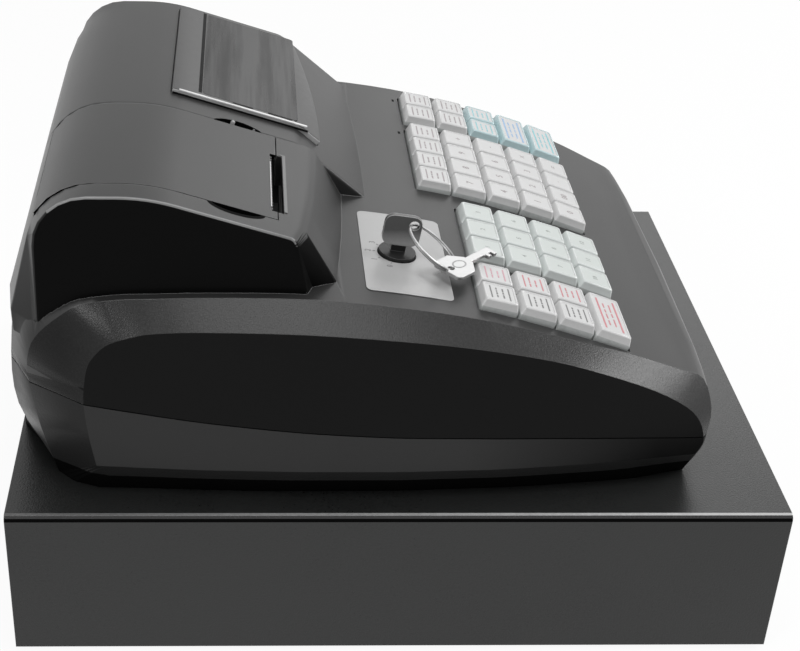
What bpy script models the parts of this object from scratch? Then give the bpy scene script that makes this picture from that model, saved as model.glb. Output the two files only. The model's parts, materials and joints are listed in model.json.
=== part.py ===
"""Electronic till with a receipt printer, standing on its own cash drawer.

X runs across the till (the operator's left is -X), the operator stands at -Y, +Z is up.
The origin is the centre of the drawer box's footprint, at the underside of the feet.
"""
import math

import bmesh
import bpy
import numpy as np
from mathutils import Matrix, Vector

# Clearances and cutter sizes shared by every piece
GAP = 0.0003
RUNNING_GAP = 0.0005
OVERRUN = 0.004
MERGE_DISTANCE = 0.000003
FACET_STEPS = 6
BEND_STEPS = 3
SOFT_STEPS = 2
FOOT_FACET_STEPS = 20
LOCK_FACET_STEPS = 24
CORD_FACET_STEPS = 16
PIN_FACET_STEPS = 12
TROUGH_FACET_STEPS = 22
LUG_FACET_STEPS = 16
CRADLE_FACET_STEPS = 48
ROLL_FACET_STEPS = 40
PLATEN_FACET_STEPS = 20
BEARING_FACET_STEPS = 16
PLUG_FACET_STEPS = 28
HOLE_FACET_STEPS = 16
RING_FACET_STEPS = 36
WIRE_FACET_STEPS = 8
NOTCH_FACET_STEPS = 8
PRINTER_LOFT_STEPS = 4
VISOR_LOFT_STEPS = 6

# Cash drawer housing, folded from steel sheet
HOUSING_WIDTH = 0.330
HOUSING_DEPTH = 0.390
HOUSING_TOP = 0.088
SHEET = 0.0012
BEND_RADIUS = 0.003
FOOT_HEIGHT = 0.003
FOOT_RADIUS = 0.009
FOOT_INSET = 0.018
RAIL_WIDTH = 0.009
RAIL_HEIGHT = 0.012
RAIL_LEVEL = 0.028
RAIL_SETBACK = 0.020

# Drawer that slides in the housing
PANEL_THICKNESS = 0.012
PANEL_MARGIN = 0.001
PAN_SHEET = 0.001
PAN_HEIGHT = 0.061
PAN_TAIL_GAP = 0.015
RUNNER_SHEET = 0.0015
GRIP_DEPTH = 0.005
GRIP_HEIGHT = 0.010
GRIP_WIDTH = 0.120

# Coin and note tray that lies in the drawer
TRAY_HEIGHT = 0.054
TRAY_WALL = 0.0025
TRAY_FLOOR = 0.003
TRAY_REAR_GAP = 0.020
COIN_CUPS = 5
COIN_CUP_LENGTH = 0.092
COIN_SCOOP_RADIUS = 0.022
COIN_FLOOR = 0.010
NOTE_BAYS = 4
NOTE_SCOOP_RADIUS = 0.006

# Drawer lock
LOCK_RADIUS = 0.0095
LOCK_LEVEL = 0.060
LOCK_RECESS = 0.0006
KEYWAY_WIDTH = 0.0014
KEYWAY_HEIGHT = 0.007
KEYWAY_DEPTH = 0.006

# Register casing, as (y, z) stations from the front foot over the top to the rear foot.
# The side panels bow in plan, and a rim band joins each one to the deck and the back.
PANEL_PROFILE = (
    (-0.1509, 0.1040), (-0.1537, 0.1094), (-0.1536, 0.1141), (-0.1500, 0.1240),
    (-0.1418, 0.1335), (-0.1229, 0.1455), (-0.0957, 0.1577), (-0.0697, 0.1668),
    (-0.0322, 0.1752), (0.0044, 0.1802), (0.0486, 0.1836), (0.0963, 0.1839),
    (0.1204, 0.1821), (0.1300, 0.1798), (0.1410, 0.1757), (0.1473, 0.1703),
    (0.1520, 0.1628), (0.1542, 0.1524), (0.1551, 0.1398), (0.1535, 0.1220), (0.1505, 0.1040))
RIM_PROFILE = (
    (-0.1485, 0.0883), (-0.1545, 0.1040), (-0.1560, 0.1140), (-0.1572, 0.1270),
    (-0.1533, 0.1395), (-0.1400, 0.1464), (-0.1130, 0.1583), (-0.0830, 0.1685),
    (-0.0400, 0.1816), (0.0000, 0.1893), (0.0450, 0.1941), (0.0930, 0.1948),
    (0.1220, 0.1940), (0.1380, 0.1934), (0.1553, 0.1905), (0.1652, 0.1844),
    (0.1753, 0.1754), (0.1810, 0.1650), (0.1829, 0.1478), (0.1785, 0.1165), (0.1714, 0.0883))
BACK_PROFILE = (
    (-0.1490, 0.0883), (-0.1560, 0.1040), (-0.1578, 0.1140), (-0.1588, 0.1275),
    (-0.1541, 0.1398), (-0.1400, 0.1466), (-0.1130, 0.1585), (-0.0830, 0.1687),
    (-0.0400, 0.1818), (0.0000, 0.1894), (0.0450, 0.1942), (0.0930, 0.1950),
    (0.1220, 0.1950), (0.1380, 0.1950), (0.1560, 0.1950), (0.1680, 0.1945),
    (0.1780, 0.1930), (0.1880, 0.1880), (0.1940, 0.1478), (0.1925, 0.1165), (0.1800, 0.0883))
SHOULDER_REAR = ((0.1945, 0.1478), (0.1944, 0.1165), (0.1935, 0.0883))
RIM_ENDS = ((0, 0.1262), (1, 0.1300), (2, 0.1305), (3, 0.1275), (17, 0.1335), (18, 0.1305),
            (19, 0.1300), (20, 0.1281))
PANEL_HALF = ((-0.20, 0.1235), (-0.15, 0.1346), (-0.10, 0.1427), (-0.05, 0.1478), (0.0, 0.1499),
              (0.05, 0.1499), (0.10, 0.1483), (0.16, 0.1441))
DECK_HALF = ((-0.20, 0.1087), (-0.15, 0.1198), (-0.10, 0.1279), (-0.05, 0.1330), (0.0, 0.1349),
             (0.05, 0.1350), (0.20, 0.1345))
DECK_HALF_WIDTH = max(half for _, half in DECK_HALF)
FOOTPRINT_HALF = ((-0.149, 0.1262), (-0.1192, 0.1345), (-0.06, 0.1412), (0.0, 0.1444),
                  (0.07, 0.1448), (0.1367, 0.1417), (0.1499, 0.1414), (0.1629, 0.1365),
                  (0.1714, 0.1281))
BACK_HALF = 0.108
SHOULDER_HALF = 0.0858
FRONT_BOW = 0.0022
PROFILE_STEPS = 3
DECK_CREST_Y = 0.075
DECK_LEVEL = max(level for _, level in BACK_PROFILE)
DECK_ARC_RADIUS = 0.500

# Parting line between the lower and the upper case, as (y, z) stations
PARTING_LINE = (
    (-0.2000, 0.1090), (-0.1411, 0.1150), (-0.1023, 0.1191), (-0.0610, 0.1220),
    (-0.0300, 0.1234), (0.0000, 0.1245), (0.0300, 0.1261), (0.0600, 0.1285),
    (0.0900, 0.1316), (0.1200, 0.1353), (0.1500, 0.1395), (0.1840, 0.1446), (0.2000, 0.1446))
PARTING_GAP = 0.0005

# Printer hood on the left and display hood on the right
HOOD_HALF_WIDTH = 0.130
HOOD_STEP_X = -0.0222
HOOD_ROOT = 0.165
HOOD_RISE = 0.0500
HOOD_CREST = DECK_LEVEL + HOOD_RISE
HOOD_SLOPE_START_Y = 0.1227
HOOD_SLOPE_FALL = 0.309
HOOD_CREST_END_Y = 0.1735
HOOD_CREST_RADIUS = 0.035
HOOD_SLOPE_RADIUS = 0.090
HOOD_CORNER_WIDTH = 0.0135
HOOD_CORNER_HALF = HOOD_HALF_WIDTH - HOOD_CORNER_WIDTH
HOOD_REAR_BASE = ((HOOD_CORNER_HALF - HOOD_CORNER_WIDTH, 0.1944), (HOOD_CORNER_HALF, 0.1910),
                  (HOOD_HALF_WIDTH, 0.1765))
HOOD_REAR_BASE_LEVEL = 0.1774
HOOD_SIDE_REAR_Y = 0.1765
HOOD_SIDE_REAR_RADIUS = 0.026
HOOD_EDGE_RADIUS = 0.0012
PRINTER_NOSE_Y = 0.0415
PRINTER_NOSE_RADIUS = 0.011
PRINTER_FRONT_RUN = 0.0286
PRINTER_FRONT_PLAN_RADIUS = 0.80
PRINTER_CORNER_NOSE_Y = 0.0535
PRINTER_CORNER_RUN = 0.0091
VISOR_NOSE_Y = 0.0500
VISOR_NOSE_RADIUS = 0.014
VISOR_RUN = 0.0588
VISOR_PLAN_RADIUS = 1.36

# Display window laid on the slope of the display hood
WINDOW_LEFT = -0.0035
WINDOW_INSET = 0.0085
WINDOW_RIGHT = HOOD_HALF_WIDTH - WINDOW_INSET
WINDOW_REAR_Y = 0.1165
WINDOW_FRONT_Y = 0.0385
WINDOW_FRONT_PLAN_RADIUS = 0.62
WINDOW_RAISE = 0.0026
WINDOW_BED = 0.0020
WINDOW_STATIONS = 9

# Printer cover, hinged at its rear edge
COVER_INSET = 0.0150
COVER_LEFT = COVER_INSET - HOOD_HALF_WIDTH
COVER_FRONT_Y = 0.0620
HINGE_Y = HOOD_CREST_END_Y
COVER_TAIL = 0.0033
COVER_REAR_Y = HINGE_Y + COVER_TAIL
COVER_THICKNESS = 0.0024
COVER_SEAM = 0.0006
COVER_STATIONS = 18
COVER_SKIRT_DEPTH = 0.007
COVER_SKIRT_WALL = 0.0016
COVER_SKIRT_FRONT_Y = 0.1000
COVER_SKIRT_REAR_Y = 0.1600
HINGE_DROP = 0.0156
HINGE_Z = HOOD_CREST - HINGE_DROP
HINGE_PIN_RADIUS = 0.0011
HINGE_PIN_SEAT = 0.0022
HINGE_LUG_WIDTH = 0.006
HINGE_LUG_RADIUS = 0.0023
HINGE_RELIEF = 0.0037
SLOT_INSET = 0.0075
SLOT_LEFT = COVER_LEFT + SLOT_INSET
SLOT_RIGHT = -0.0445
SLOT_FRONT_Y = 0.0588
SLOT_REAR_Y = 0.0650
TEAR_TOOTH_PITCH = 0.003
TEAR_TOOTH_DEPTH = 0.0010
TEAR_BAR_DEPTH = 0.0045
NOTCH_LENGTH = 0.027
NOTCH_REACH = 0.0062
NOTCH_CENTRE_Y = 0.0815
NOTCH_DEPTH = 0.0055

# Paper bay, roll, print mechanism and platen inside the hood
BAY_INSET = 0.0065
BAY_LEFT = COVER_LEFT + BAY_INSET
BAY_RIGHT = -0.0435
BAY_DEPTH = 0.0522
BAY_FLOOR = HOOD_CREST - BAY_DEPTH
BAY_FRONT_Y = 0.0600
BAY_REAR_Y = 0.1600
ROLL_RADIUS = 0.0260
ROLL_END_GAP = 0.004
ROLL_LENGTH = BAY_RIGHT - BAY_LEFT - 2 * ROLL_END_GAP
ROLL_CORE_RADIUS = 0.0065
ROLL_Y = 0.1310
ROLL_DROP = 0.0335
ROLL_Z = HOOD_CREST - ROLL_DROP
PLATEN_Y = 0.0750
PLATEN_DROP = 0.0360
PLATEN_Z = HOOD_CREST - PLATEN_DROP
PLATEN_RADIUS = 0.0058
PLATEN_END_GAP = 0.0065
PLATEN_LENGTH = BAY_RIGHT - BAY_LEFT - 2 * PLATEN_END_GAP
PLATEN_SHAFT_RADIUS = 0.0018
PLATEN_GEAR_RADIUS = 0.0052
PLATEN_GEAR_WIDTH = 0.0028
MECHANISM_REAR_Y = 0.0985
MECHANISM_BASE = 0.0055
MECHANISM_CHEEK = 0.0020
MECHANISM_CHEEK_TOP = 0.0080
HEAD_THICKNESS = 0.0030
HEAD_HEIGHT = 0.0170
HEAD_LEAN = 0.20

# Keyboard
ROW_PITCH = 0.0200
FIRST_ROW_ARC = 0.1020
ROWS = 5
KEY_GAP = 0.0007
KEY_HEIGHT = 0.0062
KEY_SHOULDER = 0.0018
KEY_SKIRT = 0.0032
KEY_TAPER_ALONG = 0.0016
KEY_TAPER_ACROSS = 0.0009
KEY_STEM = 0.005
KEY_STEM_LENGTH = 0.012
KEY_TRAVEL = 0.003
WELL_DEPTH = 0.0072
WELL_MARGIN = 0.0006
GUIDE_SPARE = 0.001
A_COLUMNS = 2
B_COLUMNS = 4
C_COLUMNS = 3
D_COLUMNS = 2
KEYBOARD_LEFT_MARGIN = 0.0114
KEYBOARD_RIGHT_MARGIN = 0.0140
D_TO_C_GAP = 0.0087
C_TO_B_GAP = 0.0162
B_TO_A_GAP = 0.0085
KEY_SPAN = (2 * DECK_HALF_WIDTH - KEYBOARD_LEFT_MARGIN - KEYBOARD_RIGHT_MARGIN
            - D_TO_C_GAP - C_TO_B_GAP - B_TO_A_GAP)
COLUMN_PITCH = KEY_SPAN / (A_COLUMNS + B_COLUMNS + C_COLUMNS + D_COLUMNS)
D_LEFT = KEYBOARD_LEFT_MARGIN - DECK_HALF_WIDTH
C_LEFT = D_LEFT + D_COLUMNS * COLUMN_PITCH + D_TO_C_GAP
B_LEFT = C_LEFT + C_COLUMNS * COLUMN_PITCH + C_TO_B_GAP
A_LEFT = B_LEFT + B_COLUMNS * COLUMN_PITCH + B_TO_A_GAP
GROUP_LEFT_EDGES = {"a": A_LEFT, "b": B_LEFT, "c": C_LEFT, "d": D_LEFT}
# Name, columns, first row, and rows of double-wide keys, group by group
KEY_GROUPS = (("a", A_COLUMNS, ROWS - 4, (ROWS - 1, ROWS)), ("b", B_COLUMNS, ROWS - 4, ()),
              ("c", C_COLUMNS, ROWS - 3, ()), ("d", D_COLUMNS, ROWS - 3, (ROWS,)))

# Mode lock with its key, and the spare key on the ring
MODE_X = -0.0817
MODE_Y = 0.0011
MODE_RADIUS = 0.0095
MODE_DEPTH = 0.012
MODE_COLLAR = 0.0022
KEY_BLADE_WIDTH = 0.0075
KEY_BLADE_THICKNESS = 0.0020
KEY_NECK = 0.0035
KEY_HEAD_WIDTH = 0.0190
KEY_HEAD_HEIGHT = 0.0165
KEY_HEAD_THICKNESS = 0.0026
KEY_HEAD_CORNER = 0.0045
KEY_HOLE_RADIUS = 0.0026
KEY_HOLE_EDGE = 0.0046
KEY_HOLE_OFFSET = 0.0055
RING_WIRE = 0.0006
SPARE_EYE = (-0.0205, -0.0243, 0.0064)
SPARE_EYE_RADIUS = 0.0018
SPARE_EYE_EDGE = 0.0040
SPARE_HEAD_LENGTH = 0.0180
SPARE_HEAD_WIDTH = 0.0178
SPARE_BLADE_LENGTH = 0.0180
SPARE_BLADE_WIDTH = 0.0042
SPARE_THICKNESS = 0.0018
SPARE_HEADING = math.radians(-44.0)
SPARE_RISE = math.radians(3.0)
SPARE_BITS = 2
BIT_WIDTH = 0.0022
BIT_PITCH = 0.0044
BIT_DEPTH = 0.0024

# Cord outlet and drawer-release socket in the rear of the lower case
CORD_HOLE_X = 0.085
CORD_HOLE_RADIUS = 0.0045
CORD_HOLE_DEPTH = 0.012
SOCKET_X = -0.060
SOCKET_WIDTH = 0.0120
SOCKET_HEIGHT = 0.0110
REAR_FITTING_LEVEL = 0.112
REAR_FACE = 0.1935


def clear_scene():
    for old in list(bpy.data.objects):
        bpy.data.objects.remove(old, do_unlink=True)


def new_collection(name):
    collection = bpy.data.collections.new(name)
    bpy.context.scene.collection.children.link(collection)
    return collection


clear_scene()
PARTS = new_collection("ticket_register")
CUTTERS = new_collection("cutters")


def make_material(name, colour, roughness, metallic=0.0):
    material = bpy.data.materials.new(name)
    material.use_nodes = True
    shader = material.node_tree.nodes["Principled BSDF"]
    shader.inputs["Base Color"].default_value = (*colour, 1.0)
    shader.inputs["Roughness"].default_value = roughness
    shader.inputs["Metallic"].default_value = metallic
    return material


def add_object(name, mesh, collection=PARTS, material=None):
    made = bpy.data.objects.new(name, mesh)
    collection.objects.link(made)
    if collection is CUTTERS:
        made.hide_render = True
        made.display_type = "WIRE"
    if material is not None:
        mesh.materials.clear()
        mesh.materials.append(material)
    return made


def mesh_from(bm, name):
    bmesh.ops.recalc_face_normals(bm, faces=bm.faces)
    mesh = bpy.data.meshes.new(name)
    bm.to_mesh(mesh)
    bm.free()
    return mesh


def add_box(bm, low, high):
    size = [b - a for a, b in zip(low, high)]
    centre = [(a + b) / 2 for a, b in zip(low, high)]
    matrix = Matrix.Translation(centre) @ Matrix.Diagonal((*size, 1.0))
    bmesh.ops.create_cube(bm, size=1.0, matrix=matrix)


def box_mesh(name, *boxes):
    bm = bmesh.new()
    for low, high in boxes:
        add_box(bm, low, high)
    return mesh_from(bm, name)


def add_cylinder(bm, radius, start, end, segments):
    start = Vector(start)
    end = Vector(end)
    axis = end - start
    turn = axis.to_track_quat("Z", "Y").to_matrix().to_4x4()
    matrix = Matrix.Translation((start + end) / 2) @ turn
    bmesh.ops.create_cone(bm, cap_ends=True, segments=segments, radius1=radius, radius2=radius,
                          depth=axis.length, matrix=matrix)


def cylinder_mesh(name, radius, start, end, segments):
    bm = bmesh.new()
    add_cylinder(bm, radius, start, end, segments)
    return mesh_from(bm, name)


def add_loft(bm, rings):
    """Skin a row of rings that have the same number of points, and cap both ends."""
    loops = [[bm.verts.new(point) for point in ring] for ring in rings]
    for near, far in zip(loops, loops[1:]):
        for i in range(len(near)):
            j = (i + 1) % len(near)
            bm.faces.new((near[i], near[j], far[j], far[i]))
    bm.faces.new(list(reversed(loops[0])))
    bm.faces.new(loops[-1])


def loft_mesh(name, rings):
    bm = bmesh.new()
    add_loft(bm, rings)
    return mesh_from(bm, name)


def prism_mesh(name, outline, x_from, x_to):
    """An outline of (y, z) points, carried across from one x to the other."""
    return loft_mesh(name, [[(x, y, z) for y, z in outline] for x in (x_from, x_to)])


def boolean(target, cutter, operation="DIFFERENCE"):
    modifier = target.modifiers.new(cutter.name, "BOOLEAN")
    modifier.solver = "EXACT"
    modifier.operation = operation
    modifier.object = cutter
    return modifier


def add_cutter(name, mesh):
    return add_object(name, mesh, CUTTERS)


def cut(target, name, mesh):
    boolean(target, add_cutter(name, mesh))


def join(target, name, mesh):
    boolean(target, add_cutter(name, mesh), "UNION")


def fillet(corners):
    """Outline through corners given as (y, z, radius); a radius turns the corner into an arc."""
    outline = []
    for i, (y, z, radius) in enumerate(corners):
        here = Vector((y, z))
        if radius == 0:
            outline.append(here)
            continue
        before = Vector(corners[i - 1][:2]) - here
        after = Vector(corners[(i + 1) % len(corners)][:2]) - here
        half_angle = before.angle(after) / 2
        reach = min(radius / math.tan(half_angle), before.length, after.length)
        arc_radius = reach * math.tan(half_angle)
        centre = here + (before.normalized() + after.normalized()).normalized() * (
            arc_radius / math.sin(half_angle))
        start = here + before.normalized() * reach - centre
        end = here + after.normalized() * reach - centre
        sweep = start.angle_signed(end)
        for step in range(FACET_STEPS + 1):
            turn = Matrix.Rotation(-sweep * step / FACET_STEPS, 2)
            outline.append(centre + turn @ start)
    return [(point.x, point.y) for point in outline]


def arc_drop(distance, radius):
    """How far an arc has fallen from its crest at a distance along its tangent."""
    return radius - math.sqrt(radius * radius - distance * distance)


def spread(start, end, count):
    return [start + (end - start) * i / (count - 1) for i in range(count)]


def mirrored(rings):
    return rings + [[(-x, y, z) for x, y, z in ring] for ring in reversed(rings)]


def between(table, value):
    """Value of a table of pairs at a place between its stations."""
    stations, results = zip(*table)
    return float(np.interp(value, stations, results))


def smooth_line(points, steps):
    """Extra points between the stations of a line, on a curve through all of them."""
    ends = [points[0]] + list(points) + [points[-1]]
    line = []
    for before, start, end, after in zip(ends, ends[1:], ends[2:], ends[3:]):
        for step in range(steps):
            share = step / steps
            line.append(tuple(
                b + share / 2 * (c - a + share * (2 * a - 5 * b + 4 * c - d
                                                  + share * (3 * (b - c) + d - a)))
                for a, b, c, d in zip(before, start, end, after)))
    return line + [tuple(points[-1])]


def deck_frame(arc_length, x, lift=0.0):
    """Point on the deck at an arc length in front of its crest, and the slope there."""
    slope = arc_length / DECK_ARC_RADIUS
    radius = DECK_ARC_RADIUS + lift
    y = DECK_CREST_Y - radius * math.sin(slope)
    z = DECK_LEVEL - DECK_ARC_RADIUS + radius * math.cos(slope)
    return Vector((x, y, z)), slope


# Register casing


def closed_ring(top, foot_x):
    """Ring over the top stations and back along the foot, one foot point under each station."""
    level = top[0][2]
    foot = [(foot_x(y), y, level) for _, y, _ in top]
    low = foot[0][1]
    high = top[-1][1]
    foot = [(foot_x(min(max(y, low), high)), min(max(y, low), high), level) for _, y, _ in foot]
    return top + foot[1:-1][::-1]


def panel_ring():
    top = [(-between(PANEL_HALF, y), y, z) for y, z in PANEL_PROFILE]
    return closed_ring(smooth_line(top, PROFILE_STEPS), lambda y: -between(PANEL_HALF, y))


def rim_ring():
    """Outer edge of the deck, which turns down the front and the back to the foot."""
    ends = dict(RIM_ENDS)
    top = [(-ends.get(i, between(DECK_HALF, y)), y, z) for i, (y, z) in enumerate(RIM_PROFILE)]
    return closed_ring(smooth_line(top, PROFILE_STEPS), lambda y: -between(FOOTPRINT_HALF, y))


def inner_ring(half_width, rear, bow):
    """Section of the deck and the back inside the rim, bowed forward at the front."""
    outline = list(BACK_PROFILE[:-len(rear)]) + list(rear) if rear else list(BACK_PROFILE)
    top = [(-half_width, y - bow if y < BACK_PROFILE[5][0] else y, z) for y, z in outline]
    return closed_ring(smooth_line(top, PROFILE_STEPS), lambda y: -half_width)


def add_panel_skin(bm, loop):
    """Skin of a bowed side panel, laid between its upper edge and its foot."""
    top_count = (len(PANEL_PROFILE) - 1) * PROFILE_STEPS + 1
    top = loop[:top_count]
    foot = [top[0]] + loop[top_count:][::-1] + [top[-1]]
    for i in range(top_count - 1):
        corners = [top[i], top[i + 1]]
        corners += [corner for corner in (foot[i + 1], foot[i]) if corner not in corners]
        if corners[-1] is not top[i + 1]:
            bm.faces.new(corners)


def casing_mesh(name):
    half = [panel_ring(), rim_ring(), inner_ring(BACK_HALF, (), 0.0),
            inner_ring(SHOULDER_HALF, SHOULDER_REAR, FRONT_BOW / 2),
            inner_ring(0.0, SHOULDER_REAR, FRONT_BOW)]
    rings = half + mirrored(half[:-1])[len(half) - 1:]
    bm = bmesh.new()
    loops = [[bm.verts.new(point) for point in ring] for ring in rings]
    for near, far in zip(loops, loops[1:]):
        for i in range(len(near)):
            j = (i + 1) % len(near)
            bm.faces.new((near[i], near[j], far[j], far[i]))
    add_panel_skin(bm, loops[0])
    add_panel_skin(bm, loops[-1])
    bmesh.ops.remove_doubles(bm, verts=bm.verts, dist=MERGE_DISTANCE)
    bmesh.ops.triangulate(bm, faces=bm.faces)
    return mesh_from(bm, name)


def parting_cutter(name, keep_above):
    """Everything on the unwanted side of the parting line."""
    shift = PARTING_GAP / 2 if keep_above else -PARTING_GAP / 2
    line = [(y, z + shift) for y, z in smooth_line(PARTING_LINE, SOFT_STEPS)]
    edge = HOUSING_TOP - OVERRUN if keep_above else HOOD_CREST + OVERRUN
    side = max(half for _, half in PANEL_HALF) + OVERRUN
    return prism_mesh(name, line + [(line[-1][0], edge), (line[0][0], edge)], -side, side)


# Hood surfaces


def slope_height(y):
    return HOOD_CREST - HOOD_SLOPE_FALL * (HOOD_SLOPE_START_Y - y)


def hood_outline(nose_y, nose_radius, run, rear_top_y, rear_radius, rear_base_y):
    """Profile whose front falls away from the nose by the hood's rise over each run."""
    nose_z = slope_height(nose_y)
    root_y = nose_y - (nose_z - HOOD_ROOT) * run / HOOD_RISE
    return fillet(
        [(root_y, HOOD_ROOT, 0), (nose_y, nose_z, nose_radius),
         (HOOD_SLOPE_START_Y, HOOD_CREST, HOOD_SLOPE_RADIUS),
         (rear_top_y, HOOD_CREST, rear_radius), (rear_base_y, HOOD_REAR_BASE_LEVEL, 0),
         (rear_base_y - GAP, HOOD_ROOT, 0)])


def printer_outline(x):
    """Profile of the printer hood, whose front is bowed forward towards the middle."""
    bow = arc_drop(x, PRINTER_FRONT_PLAN_RADIUS)
    return hood_outline(PRINTER_NOSE_Y + bow, PRINTER_NOSE_RADIUS, PRINTER_FRONT_RUN,
                        HOOD_CREST_END_Y, HOOD_CREST_RADIUS, between(HOOD_REAR_BASE, abs(x)))


def visor_outline(x):
    """Profile of the display hood, whose visor leans further forward than the printer."""
    bow = arc_drop(x, VISOR_PLAN_RADIUS)
    return hood_outline(VISOR_NOSE_Y + bow, VISOR_NOSE_RADIUS, VISOR_RUN,
                        HOOD_CREST_END_Y, HOOD_CREST_RADIUS, between(HOOD_REAR_BASE, abs(x)))


def side_outline(nose_y, nose_radius, run):
    """Profile at the outer wall, where both upright corners are chamfered away."""
    return hood_outline(nose_y, nose_radius, run, HOOD_SIDE_REAR_Y, HOOD_SIDE_REAR_RADIUS,
                        HOOD_SIDE_REAR_Y)


def soften(target, width, angle=math.radians(28.0)):
    bevel = target.modifiers.new("soft_edges", "BEVEL")
    bevel.width = width
    bevel.segments = SOFT_STEPS
    bevel.limit_method = "ANGLE"
    bevel.angle_limit = angle


def printer_hood():
    rings = [[(-HOOD_HALF_WIDTH, y, z) for y, z in
              side_outline(PRINTER_CORNER_NOSE_Y, PRINTER_NOSE_RADIUS / 2, PRINTER_CORNER_RUN)]]
    for x in spread(-HOOD_CORNER_HALF, HOOD_STEP_X + GAP, PRINTER_LOFT_STEPS + 1):
        rings.append([(x, y, z) for y, z in printer_outline(x)])
    hood = add_cutter("printer_hood", loft_mesh("printer_hood", rings))
    soften(hood, HOOD_EDGE_RADIUS)
    return hood


def display_hood():
    rings = []
    for x in spread(HOOD_STEP_X, HOOD_CORNER_HALF, VISOR_LOFT_STEPS + 1):
        rings.append([(x, y, z) for y, z in visor_outline(x)])
    rings.append([(HOOD_HALF_WIDTH, y, z) for y, z in
                  side_outline(VISOR_NOSE_Y + arc_drop(HOOD_HALF_WIDTH, VISOR_PLAN_RADIUS),
                               VISOR_NOSE_RADIUS, VISOR_RUN)])
    hood = add_cutter("display_hood", loft_mesh("display_hood", rings))
    soften(hood, HOOD_EDGE_RADIUS)
    return hood


def on_profile(outline, y):
    """Height and outward normal of the upper side of an outline at y."""
    for (y0, z0), (y1, z1) in zip(outline, outline[1:]):
        if y0 <= y <= y1 and y1 > y0:
            share = (y - y0) / (y1 - y0)
            normal = Vector((-(z1 - z0), y1 - y0)).normalized()
            return z0 + (z1 - z0) * share, normal
    raise ValueError("the profile has no upper side there")


def skin_ring(outline, x, stations, outer, inner):
    """Section of a sheet that follows the profile, between two offsets from it."""
    top = []
    bottom = []
    for y in stations:
        z, normal = on_profile(outline, y)
        here = Vector((y, z))
        top.append(here + normal * outer)
        bottom.append(here + normal * inner)
    return [(x, point.x, point.y) for point in top + bottom[::-1]]


def skin_mesh(name, outline, x_from, x_to, stations, outer, inner):
    return loft_mesh(name, [skin_ring(outline, x, stations, outer, inner) for x in (x_from, x_to)])


# Keyboard layout, as (name, row, left edge, width)


def keyboard_layout():
    keys = []
    for group, group_columns, first_row, double_rows in KEY_GROUPS:
        for row in range(first_row, ROWS + 1):
            columns = 1 if row in double_rows else group_columns
            width = COLUMN_PITCH * group_columns / columns
            for column in range(columns):
                name = "key_%s%d%d" % (group, row, column + 1)
                keys.append((name, row, GROUP_LEFT_EDGES[group] + width * column, width))
    return keys


def row_arc(row):
    return FIRST_ROW_ARC + (row - 1) * ROW_PITCH


def key_rings(width):
    """Key in its own frame: stem, skirt, shoulder and the tapered cap above the deck."""
    half_x = width / 2 - KEY_GAP / 2
    half_y = ROW_PITCH / 2 - KEY_GAP / 2
    stem = KEY_STEM / 2
    sections = [
        (stem, stem, -WELL_DEPTH - KEY_STEM_LENGTH + KEY_TRAVEL + GUIDE_SPARE),
        (stem, stem, -KEY_SKIRT),
        (half_x, half_y, -KEY_SKIRT),
        (half_x, half_y, KEY_SHOULDER),
        (half_x - KEY_TAPER_ACROSS, half_y - KEY_TAPER_ALONG, KEY_HEIGHT)]
    return [[(-x, -y, z), (x, -y, z), (x, y, z), (-x, y, z)] for x, y, z in sections]


def well_mesh(name):
    """Wells that the key groups sit in, following the curve of the deck."""
    bm = bmesh.new()
    for group, group_columns, first_row, _ in KEY_GROUPS:
        left_edge = GROUP_LEFT_EDGES[group]
        first = row_arc(first_row) - ROW_PITCH / 2 - WELL_MARGIN
        last = row_arc(ROWS) + ROW_PITCH / 2 + WELL_MARGIN
        stations = spread(last, first, 2 * ROWS)
        outline = [deck_frame(arc, 0, OVERRUN)[0] for arc in stations]
        outline += [deck_frame(arc, 0, -WELL_DEPTH)[0] for arc in reversed(stations)]
        right_edge = left_edge + COLUMN_PITCH * group_columns
        add_loft(bm, [[(x, point.y, point.z) for point in outline]
                      for x in (left_edge - WELL_MARGIN, right_edge + WELL_MARGIN)])
    return mesh_from(bm, name)


def guide_mesh(name):
    """Blind square guides in the floor of the wells, one for each key's stem."""
    bm = bmesh.new()
    half = KEY_STEM / 2 + GAP
    for _, row, left, width in keyboard_layout():
        point, slope = deck_frame(row_arc(row), left + width / 2)
        turn = Matrix.Translation(point) @ Matrix.Rotation(slope, 4, "X")
        corners = [(-half, -half), (half, -half), (half, half), (-half, half)]
        depths = (-WELL_DEPTH - KEY_STEM_LENGTH, -WELL_DEPTH + GUIDE_SPARE)
        add_loft(bm, [[turn @ Vector((x, y, z)) for x, y in corners] for z in depths])
    return mesh_from(bm, name)


# Pieces


def shade_round(target, angle=math.radians(30.0)):
    target.data.shade_smooth()
    target.data.set_sharp_from_angle(angle=angle)


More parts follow.
